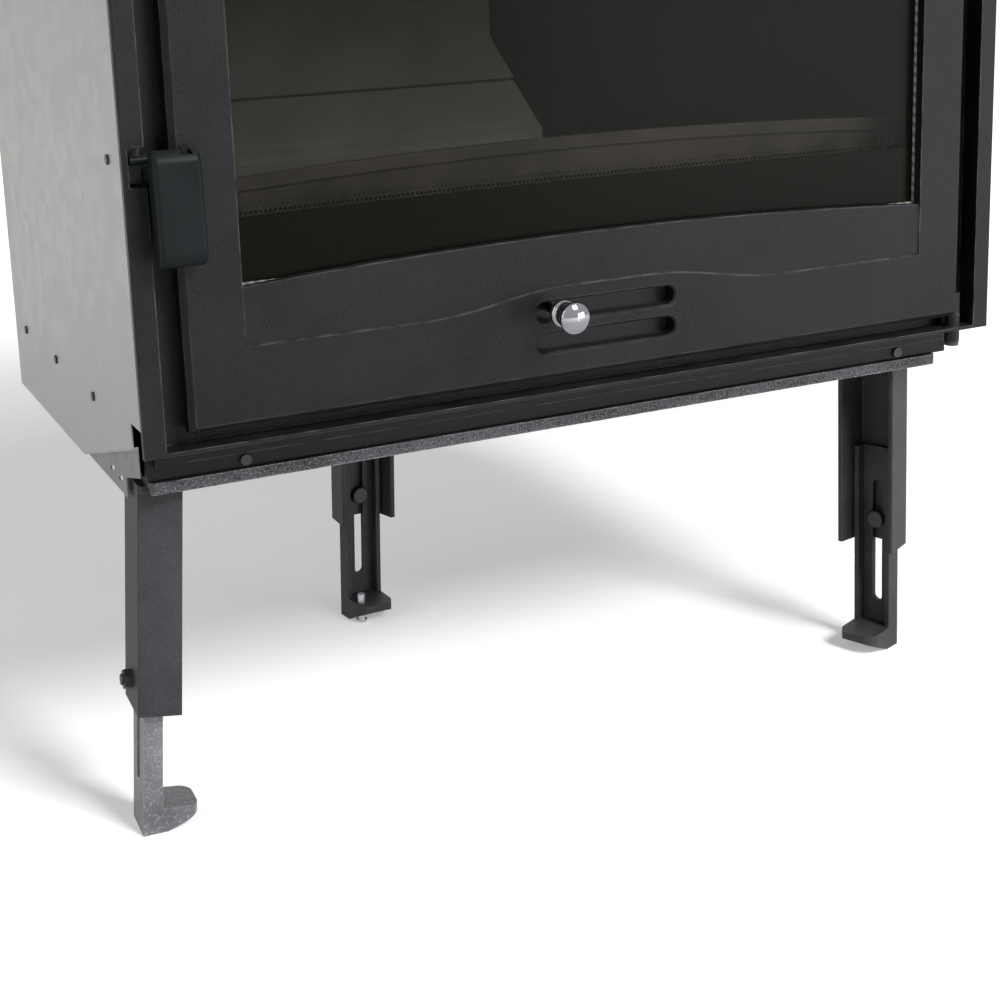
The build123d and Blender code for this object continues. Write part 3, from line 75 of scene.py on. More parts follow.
@dataclass
class Wiring:
    """Adds and joins the nodes of one tree."""

    tree: bpy.types.NodeTree

    def add(self, kind: str, values: Optional[dict] = None, **settings: object) -> bpy.types.Node:
        """Adds a node.

        Args:
            kind: The node's type.
            values: Socket values by socket name.
            **settings: Properties of the node.

        Returns:
            The new node.
        """
        node = self.tree.nodes.new(kind)
        for name, value in settings.items():
            setattr(node, name, value)
        for name, value in (values or {}).items():
            node.inputs[name].default_value = value
        return node

    def join(self, source: bpy.types.NodeSocket, target: bpy.types.NodeSocket) -> None:
        """Links one socket to another."""
        self.tree.links.new(source, target)

    def feed(self, value: Value, target: bpy.types.NodeSocket) -> None:
        """Links an input to a socket, or sets it to a number or a colour.

        Args:
            value: A socket, a number or a colour.
            target: The input.
        """
        if isinstance(value, bpy.types.NodeSocket):
            self.join(value, target)
        elif isinstance(value, tuple):
            target.default_value = (*value, 1.0)
        else:
            target.default_value = value

    def place(self) -> bpy.types.NodeSocket:
        """Gives the Object coordinates, in metres."""
        return self.add("ShaderNodeTexCoord").outputs["Object"]

    def split(self, vector: bpy.types.NodeSocket) -> bpy.types.NodeOutputs:
        """Splits a vector.

        Args:
            vector: The vector's socket.

        Returns:
            The sockets X, Y and Z.
        """
        node = self.add("ShaderNodeSeparateXYZ")
        self.join(vector, node.inputs[0])
        return node.outputs

    def maths(self, operation: str, first: Value, second: Value = 0.0) -> bpy.types.NodeSocket:
        """Adds a maths node.

        Args:
            operation: The maths operation.
            first: A socket or a number.
            second: A socket or a number, where the operation takes two.

        Returns:
            The result's socket.
        """
        node = self.add("ShaderNodeMath", operation=operation)
        for value, socket in zip((first, second), node.inputs):
            self.feed(value, socket)
        return node.outputs[0]

    def span(self, source: bpy.types.NodeSocket, low: float, high: float,
             to_low: float = 0.0, to_high: float = 1.0) -> bpy.types.NodeSocket:
        """Maps a value from one range to another, clamped.

        Args:
            source: The value's socket.
            low: Start of the source range.
            high: End of the source range.
            to_low: Result at the start.
            to_high: Result at the end.

        Returns:
            The mapped socket.
        """
        node = self.add("ShaderNodeMapRange", {
            "From Min": low, "From Max": high, "To Min": to_low, "To Max": to_high,
        })
        self.join(source, node.inputs["Value"])
        return node.outputs["Result"]

    def blend(self, amount: Value, first: Value, second: Value) -> bpy.types.NodeSocket:
        """Mixes two colours.

        Args:
            amount: Share of the second, as a socket or a number.
            first: First colour, as a socket or three numbers.
            second: Second colour, as a socket or three numbers.

        Returns:
            The mixed colour's socket.
        """
        node = self.add("ShaderNodeMix", data_type="RGBA", blend_type="MIX")
        share, start, end = node.inputs[0], node.inputs[6], node.inputs[7]
        for value, socket in ((amount, share), (first, start), (second, end)):
            self.feed(value, socket)
        return node.outputs[2]

    def noise(self, vector: bpy.types.NodeSocket, scale: float, detail: float = 3.0,
              roughness: float = 0.55) -> bpy.types.NodeSocket:
        """Adds a noise texture.

        Args:
            vector: Where it is read.
            scale: Features per metre.
            detail: Octaves.
            roughness: Weight of the finer octaves.

        Returns:
            The noise value's socket.
        """
        node = self.add("ShaderNodeTexNoise", {
            "Scale": scale, "Detail": detail, "Roughness": roughness,
        })
        self.join(vector, node.inputs["Vector"])
        return node.outputs["Fac"]


Filler = Callable[[Wiring, bpy.types.Node, bpy.types.Node], None]


class GroupKit:
    """The shader groups that several finishes share, each built once."""

    def __init__(self) -> None:
        """Starts with no group built."""
        self.built: dict[str, bpy.types.NodeTree] = {}

    def get(self, name: str, inputs: dict[str, float], outputs: Iterable[str],
            fill: Filler) -> bpy.types.NodeTree:
        """Gives a group, building it on first use.

        Args:
            name: The group's name.
            inputs: Its number inputs, with their defaults.
            outputs: Its number outputs.
            fill: Adds the nodes between its ends.

        Returns:
            The group's tree.
        """
        if name in self.built:
            return self.built[name]
        tree = bpy.data.node_groups.new(name, "ShaderNodeTree")
        for title, value in inputs.items():
            socket = tree.interface.new_socket(name=title, in_out="INPUT", socket_type="NodeSocketFloat")
            socket.default_value = value
        for title in outputs:
            tree.interface.new_socket(name=title, in_out="OUTPUT", socket_type="NodeSocketFloat")
        fill(Wiring(tree), tree.nodes.new("NodeGroupInput"), tree.nodes.new("NodeGroupOutput"))
        self.built[name] = tree
        return tree

    def cast_skin(self) -> bpy.types.NodeTree:
        """Sand-cast skin: fine grain, scattered pits and a slow mottle.

        Returns:
            The group's tree.
        """
        pit_slope: Span = (0.05, 0.3)
        mottle_scale = 14.0

        def fill(wires: Wiring, given: bpy.types.Node, out: bpy.types.Node) -> None:
            """Sinks the pits into the grain, and adds the mottle.

            Args:
                wires: The group's wiring.
                given: Its input node.
                out: Its output node.
            """
            place = wires.place()
            grain = wires.add("ShaderNodeTexNoise", {"Detail": 3.0, "Roughness": 0.6})
            pits = wires.add("ShaderNodeTexVoronoi", {"Randomness": 1.0})
            for texture, scale in ((grain, "Grain Scale"), (pits, "Pit Scale")):
                wires.join(place, texture.inputs["Vector"])
                wires.join(given.outputs[scale], texture.inputs["Scale"])
            hollow = wires.span(pits.outputs["Distance"], *pit_slope, 1.0, 0.0)
            sunk = wires.maths("MULTIPLY", hollow, given.outputs["Pits"])
            wires.join(wires.maths("SUBTRACT", grain.outputs["Fac"], sunk), out.inputs["Height"])
            wires.join(wires.noise(place, mottle_scale, detail=4.0, roughness=0.6), out.inputs["Mottle"])

        inputs = {"Grain Scale": 900.0, "Pit Scale": 220.0, "Pits": 0.3}
        return self.get("cast skin", inputs, ("Height", "Mottle"), fill)

    def edge_wear_and_highlight(self) -> bpy.types.NodeTree:
        """A mask along edges, broken up by noise, for wear and for painted highlights.

        Returns:
            The group's tree.
        """
        edge_turn: Span = (0.70, 0.98)
        break_scale = 60.0
        break_up: Span = (0.35, 0.65)

        def fill(wires: Wiring, given: bpy.types.Node, out: bpy.types.Node) -> None:
            """Finds where a rounded normal leaves the face's own.

            Args:
                wires: The group's wiring.
                given: Its input node.
                out: Its output node.
            """
            rounded = wires.add("ShaderNodeBevel", samples=4)
            wires.join(given.outputs["Radius"], rounded.inputs["Radius"])
            likeness = wires.add("ShaderNodeVectorMath", operation="DOT_PRODUCT")
            wires.join(rounded.outputs["Normal"], likeness.inputs[0])
            wires.join(wires.add("ShaderNodeNewGeometry").outputs["True Normal"], likeness.inputs[1])
            edge = wires.span(likeness.outputs["Value"], *edge_turn, 1.0, 0.0)
            broken = wires.span(wires.noise(wires.place(), break_scale), *break_up)
            worn_and_highlight = wires.maths("MULTIPLY", edge, broken)
            wires.join(wires.maths("MULTIPLY", worn_and_highlight, given.outputs["Amount"]), out.inputs["Mask"])

        return self.get("edge wear", {"Radius": 0.0012, "Amount": 1.0}, ("Mask",), fill)

    def settled_dust(self) -> bpy.types.NodeTree:
        """A mask of dust on faces that look up.

        Returns:
            The group's tree.
        """
        upward: Span = (0.4, 1.0)
        patch_scale = 35.0
        patches: Span = (0.3, 0.75)

        def fill(wires: Wiring, given: bpy.types.Node, out: bpy.types.Node) -> None:
            """Lays patches on the faces that look up.

            Args:
                wires: The group's wiring.
                given: Its input node.
                out: Its output node.
            """
            normal = wires.split(wires.add("ShaderNodeNewGeometry").outputs["True Normal"])
            patchy = wires.span(wires.noise(wires.place(), patch_scale, detail=5.0, roughness=0.65), *patches)
            mask = wires.maths("MULTIPLY", wires.span(normal["Z"], *upward), patchy)
            wires.join(wires.maths("MULTIPLY", mask, given.outputs["Amount"]), out.inputs["Mask"])

        return self.get("settled dust", {"Amount": 0.2}, ("Mask",), fill)

    def spangle(self) -> bpy.types.NodeTree:
        """The crystal pattern of hot-dip zinc, and its fine specks.

        Returns:
            The group's tree.
        """
        warp_scale = 60.0
        warp_reach = 0.012
        speck_scale = 1400.0
        specks: Span = (0.66, 0.74)

        def fill(wires: Wiring, given: bpy.types.Node, out: bpy.types.Node) -> None:
            """Warps a cell pattern, and adds specks.

            Args:
                wires: The group's wiring.
                given: Its input node.
                out: Its output node.
            """
            place = wires.place()
            warp = wires.add("ShaderNodeTexNoise", {"Scale": warp_scale, "Detail": 2.0})
            wires.join(place, warp.inputs["Vector"])
            shift = wires.add("ShaderNodeVectorMath", operation="MULTIPLY_ADD")
            wires.join(warp.outputs["Color"], shift.inputs[0])
            shift.inputs[1].default_value = (warp_reach, warp_reach, warp_reach)
            wires.join(place, shift.inputs[2])
            cells = wires.add("ShaderNodeTexVoronoi", {"Randomness": 1.0})
            wires.join(shift.outputs["Vector"], cells.inputs["Vector"])
            wires.join(given.outputs["Crystal Scale"], cells.inputs["Scale"])
            shades = wires.add("ShaderNodeSeparateColor")
            wires.join(cells.outputs["Color"], shades.inputs[0])
            wires.join(shades.outputs[0], out.inputs["Crystal"])
            wires.join(wires.span(wires.noise(place, speck_scale, detail=2.0), *specks), out.inputs["Speck"])

        return self.get("zinc spangle", {"Crystal Scale": 70.0}, ("Crystal", "Speck"), fill)


GROUPS = GroupKit()


def start_material(name: str) -> tuple[bpy.types.Material, Wiring, bpy.types.Node]:
    """Makes an empty material with its main shader.

    Args:
        name: The material's name.

    Returns:
        The material, its wiring and its Principled shader.
    """
    material = bpy.data.materials.new(name)
    material.use_nodes = True
    wires = Wiring(material.node_tree)
    return material, wires, material.node_tree.nodes["Principled BSDF"]


def place_group(wires: Wiring, tree: bpy.types.NodeTree, **values: float) -> bpy.types.NodeOutputs:
    """Places a shared group in a material.

    Args:
        wires: The material's wiring.
        tree: The group.
        **values: Input values, with underscores for spaces.

    Returns:
        The group's outputs.
    """
    node = wires.add("ShaderNodeGroup")
    node.node_tree = tree
    for name, value in values.items():
        node.inputs[name.replace("_", " ")].default_value = value
    return node.outputs


def bump(wires: Wiring, shader: bpy.types.Node, height: bpy.types.NodeSocket,
         strength: float, distance: float) -> None:
    """Drives a shader's normal by a height.

    Args:
        wires: The material's wiring.
        shader: The Principled shader.
        height: The height's socket.
        strength: How much of the bump shows.
        distance: Depth in metres.
    """
    node = wires.add("ShaderNodeBump", {"Strength": strength, "Distance": distance})
    wires.join(height, node.inputs["Height"])
    wires.join(node.outputs["Normal"], shader.inputs["Normal"])


def toned(colour: Colour, factor: float, lift: float = 0.0) -> Colour:
    """Makes a colour lighter or darker.

    Args:
        colour: The colour.
        factor: What it is multiplied by.
        lift: What is then added.

    Returns:
        The new colour, at most white.
    """
    return tuple(min(1.0, c * factor + lift) for c in colour)


def looked_at(wires: Wiring) -> bpy.types.NodeSocket:
    """Tells the rays that show a background from those that light the object.

    Args:
        wires: The wiring of the floor's material or of the world.

    Returns:
        A socket that is 1 for camera, glossy and transmission rays.
    """
    rays = wires.add("ShaderNodeLightPath").outputs
    seen = wires.maths("MAXIMUM", rays["Is Camera Ray"], rays["Is Glossy Ray"])
    return wires.maths("MAXIMUM", seen, rays["Is Transmission Ray"])


# Finishes


@dataclass(frozen=True)
class CastFinish:
    """Cast iron, painted or raw."""

    name: str
    colour: Colour
    worn_and_highlight: Colour
    settled: Colour = (0.30, 0.29, 0.27)
    roughness: float = 0.58
    roughness_spread: float = 0.07
    polish: float = 0.12
    grain_scale: float = 900.0
    pit_scale: float = 220.0
    pits: float = 0.3
    depth: float = 0.00012
    bump_strength: float = 0.5
    wear: float = 0.6
    wear_radius: float = 0.0012
    dust: float = 0.12
    mottle: float = 0.22
    blotches: Span = (0.35, 0.65)
    flecks: Span = (0.52, 0.66)
    sheen: Span = (0.3, 0.7)
    metallic: float = 0.0
    gloss: float = 0.5
    speckle: float = 0.0

    def material(self) -> bpy.types.Material:
        """Builds the material.

        Returns:
            The cast material.
        """
        made, wires, shader = start_material(self.name)
        skin = place_group(wires, GROUPS.cast_skin(), Grain_Scale=self.grain_scale,
                           Pit_Scale=self.pit_scale, Pits=self.pits)
        edge = place_group(wires, GROUPS.edge_wear_and_highlight(), Radius=self.wear_radius, Amount=self.wear)
        dust = place_group(wires, GROUPS.settled_dust(), Amount=self.dust)
        mottled = wires.blend(wires.span(skin["Mottle"], *self.blotches),
                              toned(self.colour, 1 - self.mottle), toned(self.colour, 1 + self.mottle))
        flecked = wires.blend(wires.maths("MULTIPLY", wires.span(skin["Height"], *self.flecks), self.speckle),
                              mottled, self.worn_and_highlight)
        # Edges take the worn colour: real wear, and on the painted casting also painted highlight along the
        # door's edges and relief
        edged = wires.blend(edge["Mask"], flecked, self.worn_and_highlight)
        wires.join(wires.blend(dust["Mask"], edged, self.settled), shader.inputs["Base Color"])
        rough = wires.span(skin["Mottle"], *self.sheen, self.roughness - self.roughness_spread,
                           self.roughness + self.roughness_spread)
        polished = wires.maths("SUBTRACT", rough, wires.maths("MULTIPLY", edge["Mask"], self.polish))
        wires.join(polished, shader.inputs["Roughness"])
        shader.inputs["Metallic"].default_value = self.metallic
        shader.inputs["Specular IOR Level"].default_value = self.gloss
        bump(wires, shader, skin["Height"], self.bump_strength, self.depth)
        return made


@dataclass(frozen=True)
class ZincSheetFinish:
    """Pale hot-dip galvanised sheet, with painted shade below the crease at its foot."""

    name: str
    colour: Colour
    pale: Colour
    speck: Colour = (0.30, 0.31, 0.30)
    speck_share: float = 0.35
    # Painted highlight: a pale colour laid along the sheet's edges, as if they caught the light
    edge_highlight: Colour = (0.72, 0.73, 0.72)
    edge_radius: float = 0.0008
    edge_highlight_share: float = 0.5
    crystal_scale: float = 70.0
    crystal_share: Span = (0.2, 0.8)
    streak_stretch: float = 0.12
    streak_scale: float = 18.0
    streaks: Span = (0.35, 0.7)
    streak_share: float = 0.22
    # Painted shade: the colour laid below the crease, where the lower panel steps in and lies in shade
    crease_shade: Colour = (0.10, 0.104, 0.10)
    crease_shade_share: float = 0.8
    crease_shade_fade: Span = (-0.001, 0.002)
    crease_y: float = FACE_Y + 0.034
    crease_z: float = 0.298
    crease_slope: float = -0.291
    crease_waver: float = 0.002
    waver_scale: float = 40.0
    roughness: float = 0.46
    roughness_spread: Span = (-0.05, 0.07)
    metallic: float = 0.2

    def material(self) -> bpy.types.Material:
        """Builds the material.

        Returns:
            The sheet's material.
        """
        made, wires, shader = start_material(self.name)
        zinc = place_group(wires, GROUPS.spangle(), Crystal_Scale=self.crystal_scale)
        edge = place_group(wires, GROUPS.edge_wear_and_highlight(), Radius=self.edge_radius, Amount=self.edge_highlight_share)
        stretched = wires.add("ShaderNodeMapping")
        stretched.inputs["Scale"].default_value = (1.0, 1.0, self.streak_stretch)
        wires.join(wires.place(), stretched.inputs["Vector"])
        rolled = wires.noise(stretched.outputs["Vector"], self.streak_scale, detail=5.0, roughness=0.6)
        flat = wires.blend(wires.span(zinc["Crystal"], 0.0, 1.0, *self.crystal_share), self.colour, self.pale)
        streaked = wires.blend(wires.span(rolled, *self.streaks, 0.0, self.streak_share), flat, self.colour)
        specked = wires.blend(wires.maths("MULTIPLY", zinc["Speck"], self.speck_share), streaked, self.speck)
        # Painted shade: darkens the sheet below the crease
        crease_shaded = wires.blend(self.crease_shade_mask(wires), specked, self.crease_shade)
        # Painted highlight along the sheet's edges
        wires.join(wires.blend(edge["Mask"], crease_shaded, self.edge_highlight), shader.inputs["Base Color"])
        smooth, dull = (self.roughness + spread for spread in self.roughness_spread)
        wires.join(wires.span(zinc["Crystal"], 0.0, 1.0, smooth, dull), shader.inputs["Roughness"])
        shader.inputs["Metallic"].default_value = self.metallic
        bump(wires, shader, zinc["Crystal"], strength=0.06, distance=0.0001)
        return made

    def crease_shade_mask(self, wires: Wiring) -> bpy.types.NodeSocket:
        """Finds the painted shade, below a crease that falls towards the back.

        Args:
            wires: The material's wiring.

        Returns:
            The painted shade's share, with a slightly wavering edge.
        """
        place = wires.place()
        at = wires.split(place)
        run = wires.maths("MULTIPLY", wires.maths("SUBTRACT", at["Y"], self.crease_y), self.crease_slope)
        below = wires.maths("SUBTRACT", wires.maths("ADD", run, self.crease_z), at["Z"])
        ragged = wires.noise(place, self.waver_scale, detail=4.0)
        waver = wires.span(ragged, *NOISE_ALL, -self.crease_waver, self.crease_waver)
        shaded = wires.span(wires.maths("ADD", below, waver), *self.crease_shade_fade)
        return wires.maths("MULTIPLY", shaded, self.crease_shade_share)


@dataclass(frozen=True)
class BrightMetalFinish:
    """Chrome, zinc plate or blackened steel, with faint handling marks."""

    name: str
    colour: Colour
    roughness: float
    metallic: float = 1.0
    smudge: float = 0.08
    mark_scale: float = 160.0
    mark_tone: float = 0.88
    marks: Span = (0.3, 0.7)
    smudges: Span = (0.35, 0.75)
    wear: float = 0.3
    wear_radius: float = 0.0006
    wear_tone: float = 1.5
    wear_lift: float = 0.05
    grain_scale: float = 900.0
    grain_depth: float = 0.00005

    def material(self) -> bpy.types.Material:
        """Builds the material.

        Returns:
            The metal's material.
        """
        made, wires, shader = start_material(self.name)
        place = wires.place()
        edge = place_group(wires, GROUPS.edge_wear_and_highlight(), Radius=self.wear_radius, Amount=self.wear)
        handled = wires.noise(place, self.mark_scale, detail=5.0, roughness=0.6)
        tone = wires.blend(wires.span(handled, *self.marks), toned(self.colour, self.mark_tone), self.colour)
        lit = wires.blend(edge["Mask"], tone, toned(self.colour, self.wear_tone, self.wear_lift))
        wires.join(lit, shader.inputs["Base Color"])
        wires.join(wires.span(handled, *self.smudges, self.roughness, self.roughness + self.smudge),
                   shader.inputs["Roughness"])
        shader.inputs["Metallic"].default_value = self.metallic
        grain = wires.noise(place, self.grain_scale, detail=2.0)
        bump(wires, shader, grain, strength=0.03, distance=self.grain_depth)
        return made


@dataclass(frozen=True)
class RefractoryFinish:
    """Pale refractory casting, more smoked the higher it is."""

    name: str
    colour: Colour
    soot: Colour
    soot_low: float = 0.40
    soot_high: float = 0.80
    soot_share: float = 0.55
    cloud_scale: float = 9.0
    clouds: Span = (0.25, 0.7)
    cloud_share: Span = (0.4, 1.2)
    tones: Span = (0.82, 1.1)
    edge_tone: float = 1.35
    roughness: Span = (0.82, 0.95)

    def material(self) -> bpy.types.Material:
        """Builds the material.

        Returns:
            The refractory material.
        """
        made, wires, shader = start_material(self.name)
        skin = place_group(wires, GROUPS.cast_skin(), Grain_Scale=420.0, Pit_Scale=120.0, Pits=0.5)
        edge = place_group(wires, GROUPS.edge_wear_and_highlight(), Radius=0.0025, Amount=0.45)
        place = wires.place()
        rise = wires.span(wires.split(place)["Z"], self.soot_low, self.soot_high, 0.0, self.soot_share)
        cloud = wires.noise(place, self.cloud_scale, detail=4.0)
        clouded = wires.span(cloud, *self.clouds, *self.cloud_share)
        dark, light = (toned(self.colour, tone) for tone in self.tones)
        grained = wires.blend(wires.span(skin["Mottle"], *NOISE_MOST), dark, light)
        smoked = wires.blend(wires.maths("MULTIPLY", rise, clouded), grained, self.soot)
        edged = wires.blend(edge["Mask"], smoked, toned(self.colour, self.edge_tone))
        wires.join(edged, shader.inputs["Base Color"])
        wires.join(wires.span(skin["Mottle"], *NOISE_ALL, *self.roughness), shader.inputs["Roughness"])
        bump(wires, shader, skin["Height"], strength=0.5, distance=0.0004)
        return made


@dataclass(frozen=True)
class HeatStainFinish:
    """Bare cast iron tinted tan by heat, with painted highlights along its edges."""

    name: str
    colour: Colour
    stain: Colour
    roughness: Span = (0.6, 0.75)
    patch_scale: float = 11.0
    patches: Span = (0.38, 0.64)
    edge_tone: float = 1.9

    def material(self) -> bpy.types.Material:
        """Builds the material.

        Returns:
            The stained iron's material.
        """
        made, wires, shader = start_material(self.name)
        skin = place_group(wires, GROUPS.cast_skin(), Grain_Scale=700.0, Pit_Scale=160.0, Pits=0.4)
        edge = place_group(wires, GROUPS.edge_wear_and_highlight(), Radius=0.002, Amount=0.8)
        patch = wires.noise(wires.place(), self.patch_scale, detail=6.0, roughness=0.62)
        stained = wires.span(patch, *self.patches)
        # Painted highlight: the edges are lightened well past the stain, for the light along the retainer's
        # edges
        edged = wires.blend(edge["Mask"], wires.blend(stained, self.colour, self.stain),
                            toned(self.stain, self.edge_tone))
        wires.join(edged, shader.inputs["Base Color"])
        wires.join(wires.span(stained, 0.0, 1.0, *self.roughness), shader.inputs["Roughness"])
        bump(wires, shader, skin["Height"], strength=0.6, distance=0.00025)
        return made


@dataclass(frozen=True)
class RopeFinish:
    """Twisted glass-fibre rope."""

    name: str
    colour: Colour
    shade: Colour
    strand: float = 0.0028
    lay_angle: float = 45.0
    fluff_scale: float = 1500.0
    roughness: Span = (0.8, 0.95)
    depth: float = 0.0006

    def material(self) -> bpy.types.Material:
        """Builds the material.

        Returns:
            The rope's material.
        """
        made, wires, shader = start_material(self.name)
        place = wires.place()
        turned = wires.add("ShaderNodeMapping")
        turned.inputs["Rotation"].default_value = (0.0, math.radians(self.lay_angle), 0.0)
        wires.join(place, turned.inputs["Vector"])
        lay = wires.add("ShaderNodeTexWave", {
            "Scale": 1.0 / (self.strand * math.tau), "Distortion": 1.2, "Detail": 2.0, "Detail Scale": 2.0,
        }, bands_direction="X")
        wires.join(turned.outputs["Vector"], lay.inputs["Vector"])
        fluff = wires.noise(place, self.fluff_scale, detail=3.0)
        wires.join(wires.blend(lay.outputs["Fac"], self.shade, self.colour), shader.inputs["Base Color"])
        wires.join(wires.span(fluff, *NOISE_ALL, *self.roughness), shader.inputs["Roughness"])
        woven = wires.maths("ADD", lay.outputs["Fac"], fluff)
        bump(wires, shader, woven, strength=0.7, distance=self.depth)
        return made


@dataclass(frozen=True)
class PaneFinish:
    """Tinted ceramic glass with a faint haze."""

    name: str
    tint: Colour
    cover: float
    cover_spread: float = 0.03
    haze_scale: float = 6.0
    haze_tone: float = 1.4
    tint_haze: Span = (0.35, 0.7)
    rough_haze: Span = (0.3, 0.75)
    cover_haze: Span = (0.35, 0.75)
    roughness: Span = (0.20, 0.26)
    gloss: float = 0.05
    bending: float = 1.5

    def material(self) -> bpy.types.Material:
        """Builds the material.

        Returns:
            The pane's material.
        """
        made, wires, shader = start_material(self.name)
        haze = wires.noise(wires.place(), self.haze_scale, detail=5.0, roughness=0.6)
        tone = wires.blend(wires.span(haze, *self.tint_haze), self.tint, toned(self.tint, self.haze_tone))
        wires.join(tone, shader.inputs["Base Color"])
        wires.join(wires.span(haze, *self.rough_haze, *self.roughness), shader.inputs["Roughness"])
        thin, thick = self.cover - self.cover_spread, self.cover + self.cover_spread
        wires.join(wires.span(haze, *self.cover_haze, thin, thick), shader.inputs["Alpha"])
        shader.inputs["IOR"].default_value = self.bending
        shader.inputs["Specular IOR Level"].default_value = self.gloss
        return made


@dataclass(frozen=True)
class PrintFinish:
    """Black enamel printed on the glass, solid below a line and fading out in dots above it."""

    name: str
    crown: float
    droop: float
    fringe: float
    pitch: float
    dot_size: Span = (0.60, 0.12)
    colour: Colour = (0.0020, 0.0022, 0.0012)
    grain_scale: float = 300.0
    grain_tone: float = 1.6
    roughness: Span = (0.20, 0.30)
    gloss: float = 0.035

    def material(self) -> bpy.types.Material:
        """Builds the material.

        Returns:
            The print's material, see-through between its dots.
        """
        made, wires, shader = start_material(self.name)
        wires.join(self.pattern(wires), shader.inputs["Alpha"])
        grain = wires.noise(wires.place(), self.grain_scale, detail=3.0)
        tone = wires.blend(wires.span(grain, *NOISE_MOST), self.colour, toned(self.colour, self.grain_tone))
        wires.join(tone, shader.inputs["Base Color"])
        wires.join(wires.span(grain, *NOISE_ALL, *self.roughness), shader.inputs["Roughness"])
        shader.inputs["Specular IOR Level"].default_value = self.gloss
        return made

    def pattern(self, wires: Wiring) -> bpy.types.NodeSocket:
        """Draws the print: solid under an arched line, with staggered rows of dots over it.

        Args:
            wires: The material's wiring.

        Returns:
            A socket that is 1 where there is enamel.
        """
        at = wires.split(wires.place())
        side = wires.maths("SUBTRACT", at["X"], MIDDLE_X)
        arch = wires.maths("MULTIPLY", wires.maths("MULTIPLY", side, side), self.droop)
        over = wires.maths("SUBTRACT", wires.maths("ADD", at["Z"], arch), self.crown)
        up = wires.maths("DIVIDE", over, self.pitch)
        stagger = wires.maths("MULTIPLY", wires.maths("MODULO", wires.maths("FLOOR", up), 2.0), 0.5)
        across = wires.maths("ADD", wires.maths("DIVIDE", side, self.pitch), stagger)
        squares = []
        for steps in (across, up):
            offset = wires.maths("SUBTRACT", wires.maths("FRACT", steps), 0.5)
            squares.append(wires.maths("MULTIPLY", offset, offset))
        away = wires.maths("SQRT", wires.maths("ADD", *squares))
        dot = wires.maths("LESS_THAN", away, wires.span(over, 0.0, self.fringe, *self.dot_size))
        return wires.maths("MAXIMUM", dot, wires.maths("LESS_THAN", over, 0.0))


class Finish(Enum):
    """Every finish on the insert."""

    # Its pale worn colour over a wide edge mask is partly wear and partly painted highlight along the door's
    # edges and relief
    PAINTED = CastFinish(
        "painted casting", (0.0050, 0.0055, 0.0062), (0.105, 0.109, 0.117), roughness=0.40, depth=0.0005,
        bump_strength=0.8, mottle=0.45, gloss=0.15, wear=1.0, wear_radius=0.002, dust=0.05)
    HANDLE = CastFinish(
        "handle casting", (0.0045, 0.0068, 0.0074), (0.036, 0.038, 0.042), roughness=0.45, depth=0.0002,
        wear_radius=0.002, gloss=0.09)
    INNER = CastFinish(
        "inner casting", (0.011, 0.011, 0.0085), (0.05, 0.048, 0.04), roughness=0.7, gloss=0.1,
        grain_scale=500.0, depth=0.0003, dust=0.3, mottle=0.35)
    ROUGH = CastFinish(
        "rough casting", (0.042, 0.044, 0.048), (0.32, 0.325, 0.34), roughness=0.48, speckle=0.55,
        gloss=0.3, grain_scale=800.0, pit_scale=320.0, pits=0.9, depth=0.0012, bump_strength=0.9,
        wear=1.0, wear_radius=0.0018, dust=0.0, mottle=0.5, metallic=0.2)
    LEG = CastFinish(
        "leg casting", (0.034, 0.035, 0.038), (0.13, 0.134, 0.144), roughness=0.5, speckle=0.22,
        gloss=0.14, grain_scale=1100.0, pit_scale=420.0, pits=0.6, depth=0.0005, bump_strength=0.8,
        wear=0.8, dust=0.05, mottle=0.3, metallic=0.15)
    # Painted highlight: a lighter copy of the leg casting, used on the front left foot only
    BARE_FOOT = CastFinish(
        "highlit foot casting", (0.125, 0.128, 0.136), (0.36, 0.366, 0.38), roughness=0.42,
        grain_scale=420.0, pit_scale=200.0, pits=0.7, depth=0.0006, bump_strength=0.8,
        wear=0.6, dust=0.0, mottle=0.35, metallic=0.3, speckle=0.4)
    ZINC_SHEET = ZincSheetFinish("galvanised sheet", (0.30, 0.312, 0.296), (0.355, 0.367, 0.35))
    # Painted shade: the chrome's colour is kept dark to stand in for the dark surroundings it reflects
    CHROME = BrightMetalFinish("polished chrome", (0.27, 0.275, 0.29), 0.05, smudge=0.07, wear=0.1)
    ZINC = BrightMetalFinish("zinc plate", (0.52, 0.53, 0.55), 0.32)
    DARK_STEEL = BrightMetalFinish("blackened steel", (0.024, 0.025, 0.027), 0.46, metallic=0.35)
    SHUTTER = BrightMetalFinish("sooted steel", (0.034, 0.035, 0.037), 0.6, metallic=1.0, wear=0.0)
    BRICK = RefractoryFinish("refractory", (0.60, 0.57, 0.49), (0.12, 0.115, 0.095))
    # Its edges carry a painted highlight
    RETAINER = HeatStainFinish("heat stained iron", (0.15, 0.135, 0.11), (0.36, 0.31, 0.23))
    ROPE = RopeFinish("seal rope", (0.30, 0.29, 0.26), (0.09, 0.086, 0.076))
    PANE = PaneFinish("ceramic glass", (0.005, 0.005, 0.004), cover=0.50)
    PRINT = PrintFinish("glass print", crown=0.4515, droop=0.026, fringe=0.0085, pitch=0.0034)

    def dressing(self) -> bpy.types.Material:
        """Gives the finish's material, made on first use.

        Returns:
            The material.
        """
        known = bpy.data.materials.get(self.value.name)
        return known or self.value.material()


# Modelling helpers


def rest_selection() -> None:
    """Leaves edit mode and deselects everything."""
    if bpy.context.object and bpy.context.object.mode != "OBJECT":
        bpy.ops.object.mode_set(mode="OBJECT")
    bpy.ops.object.select_all(action="DESELECT")


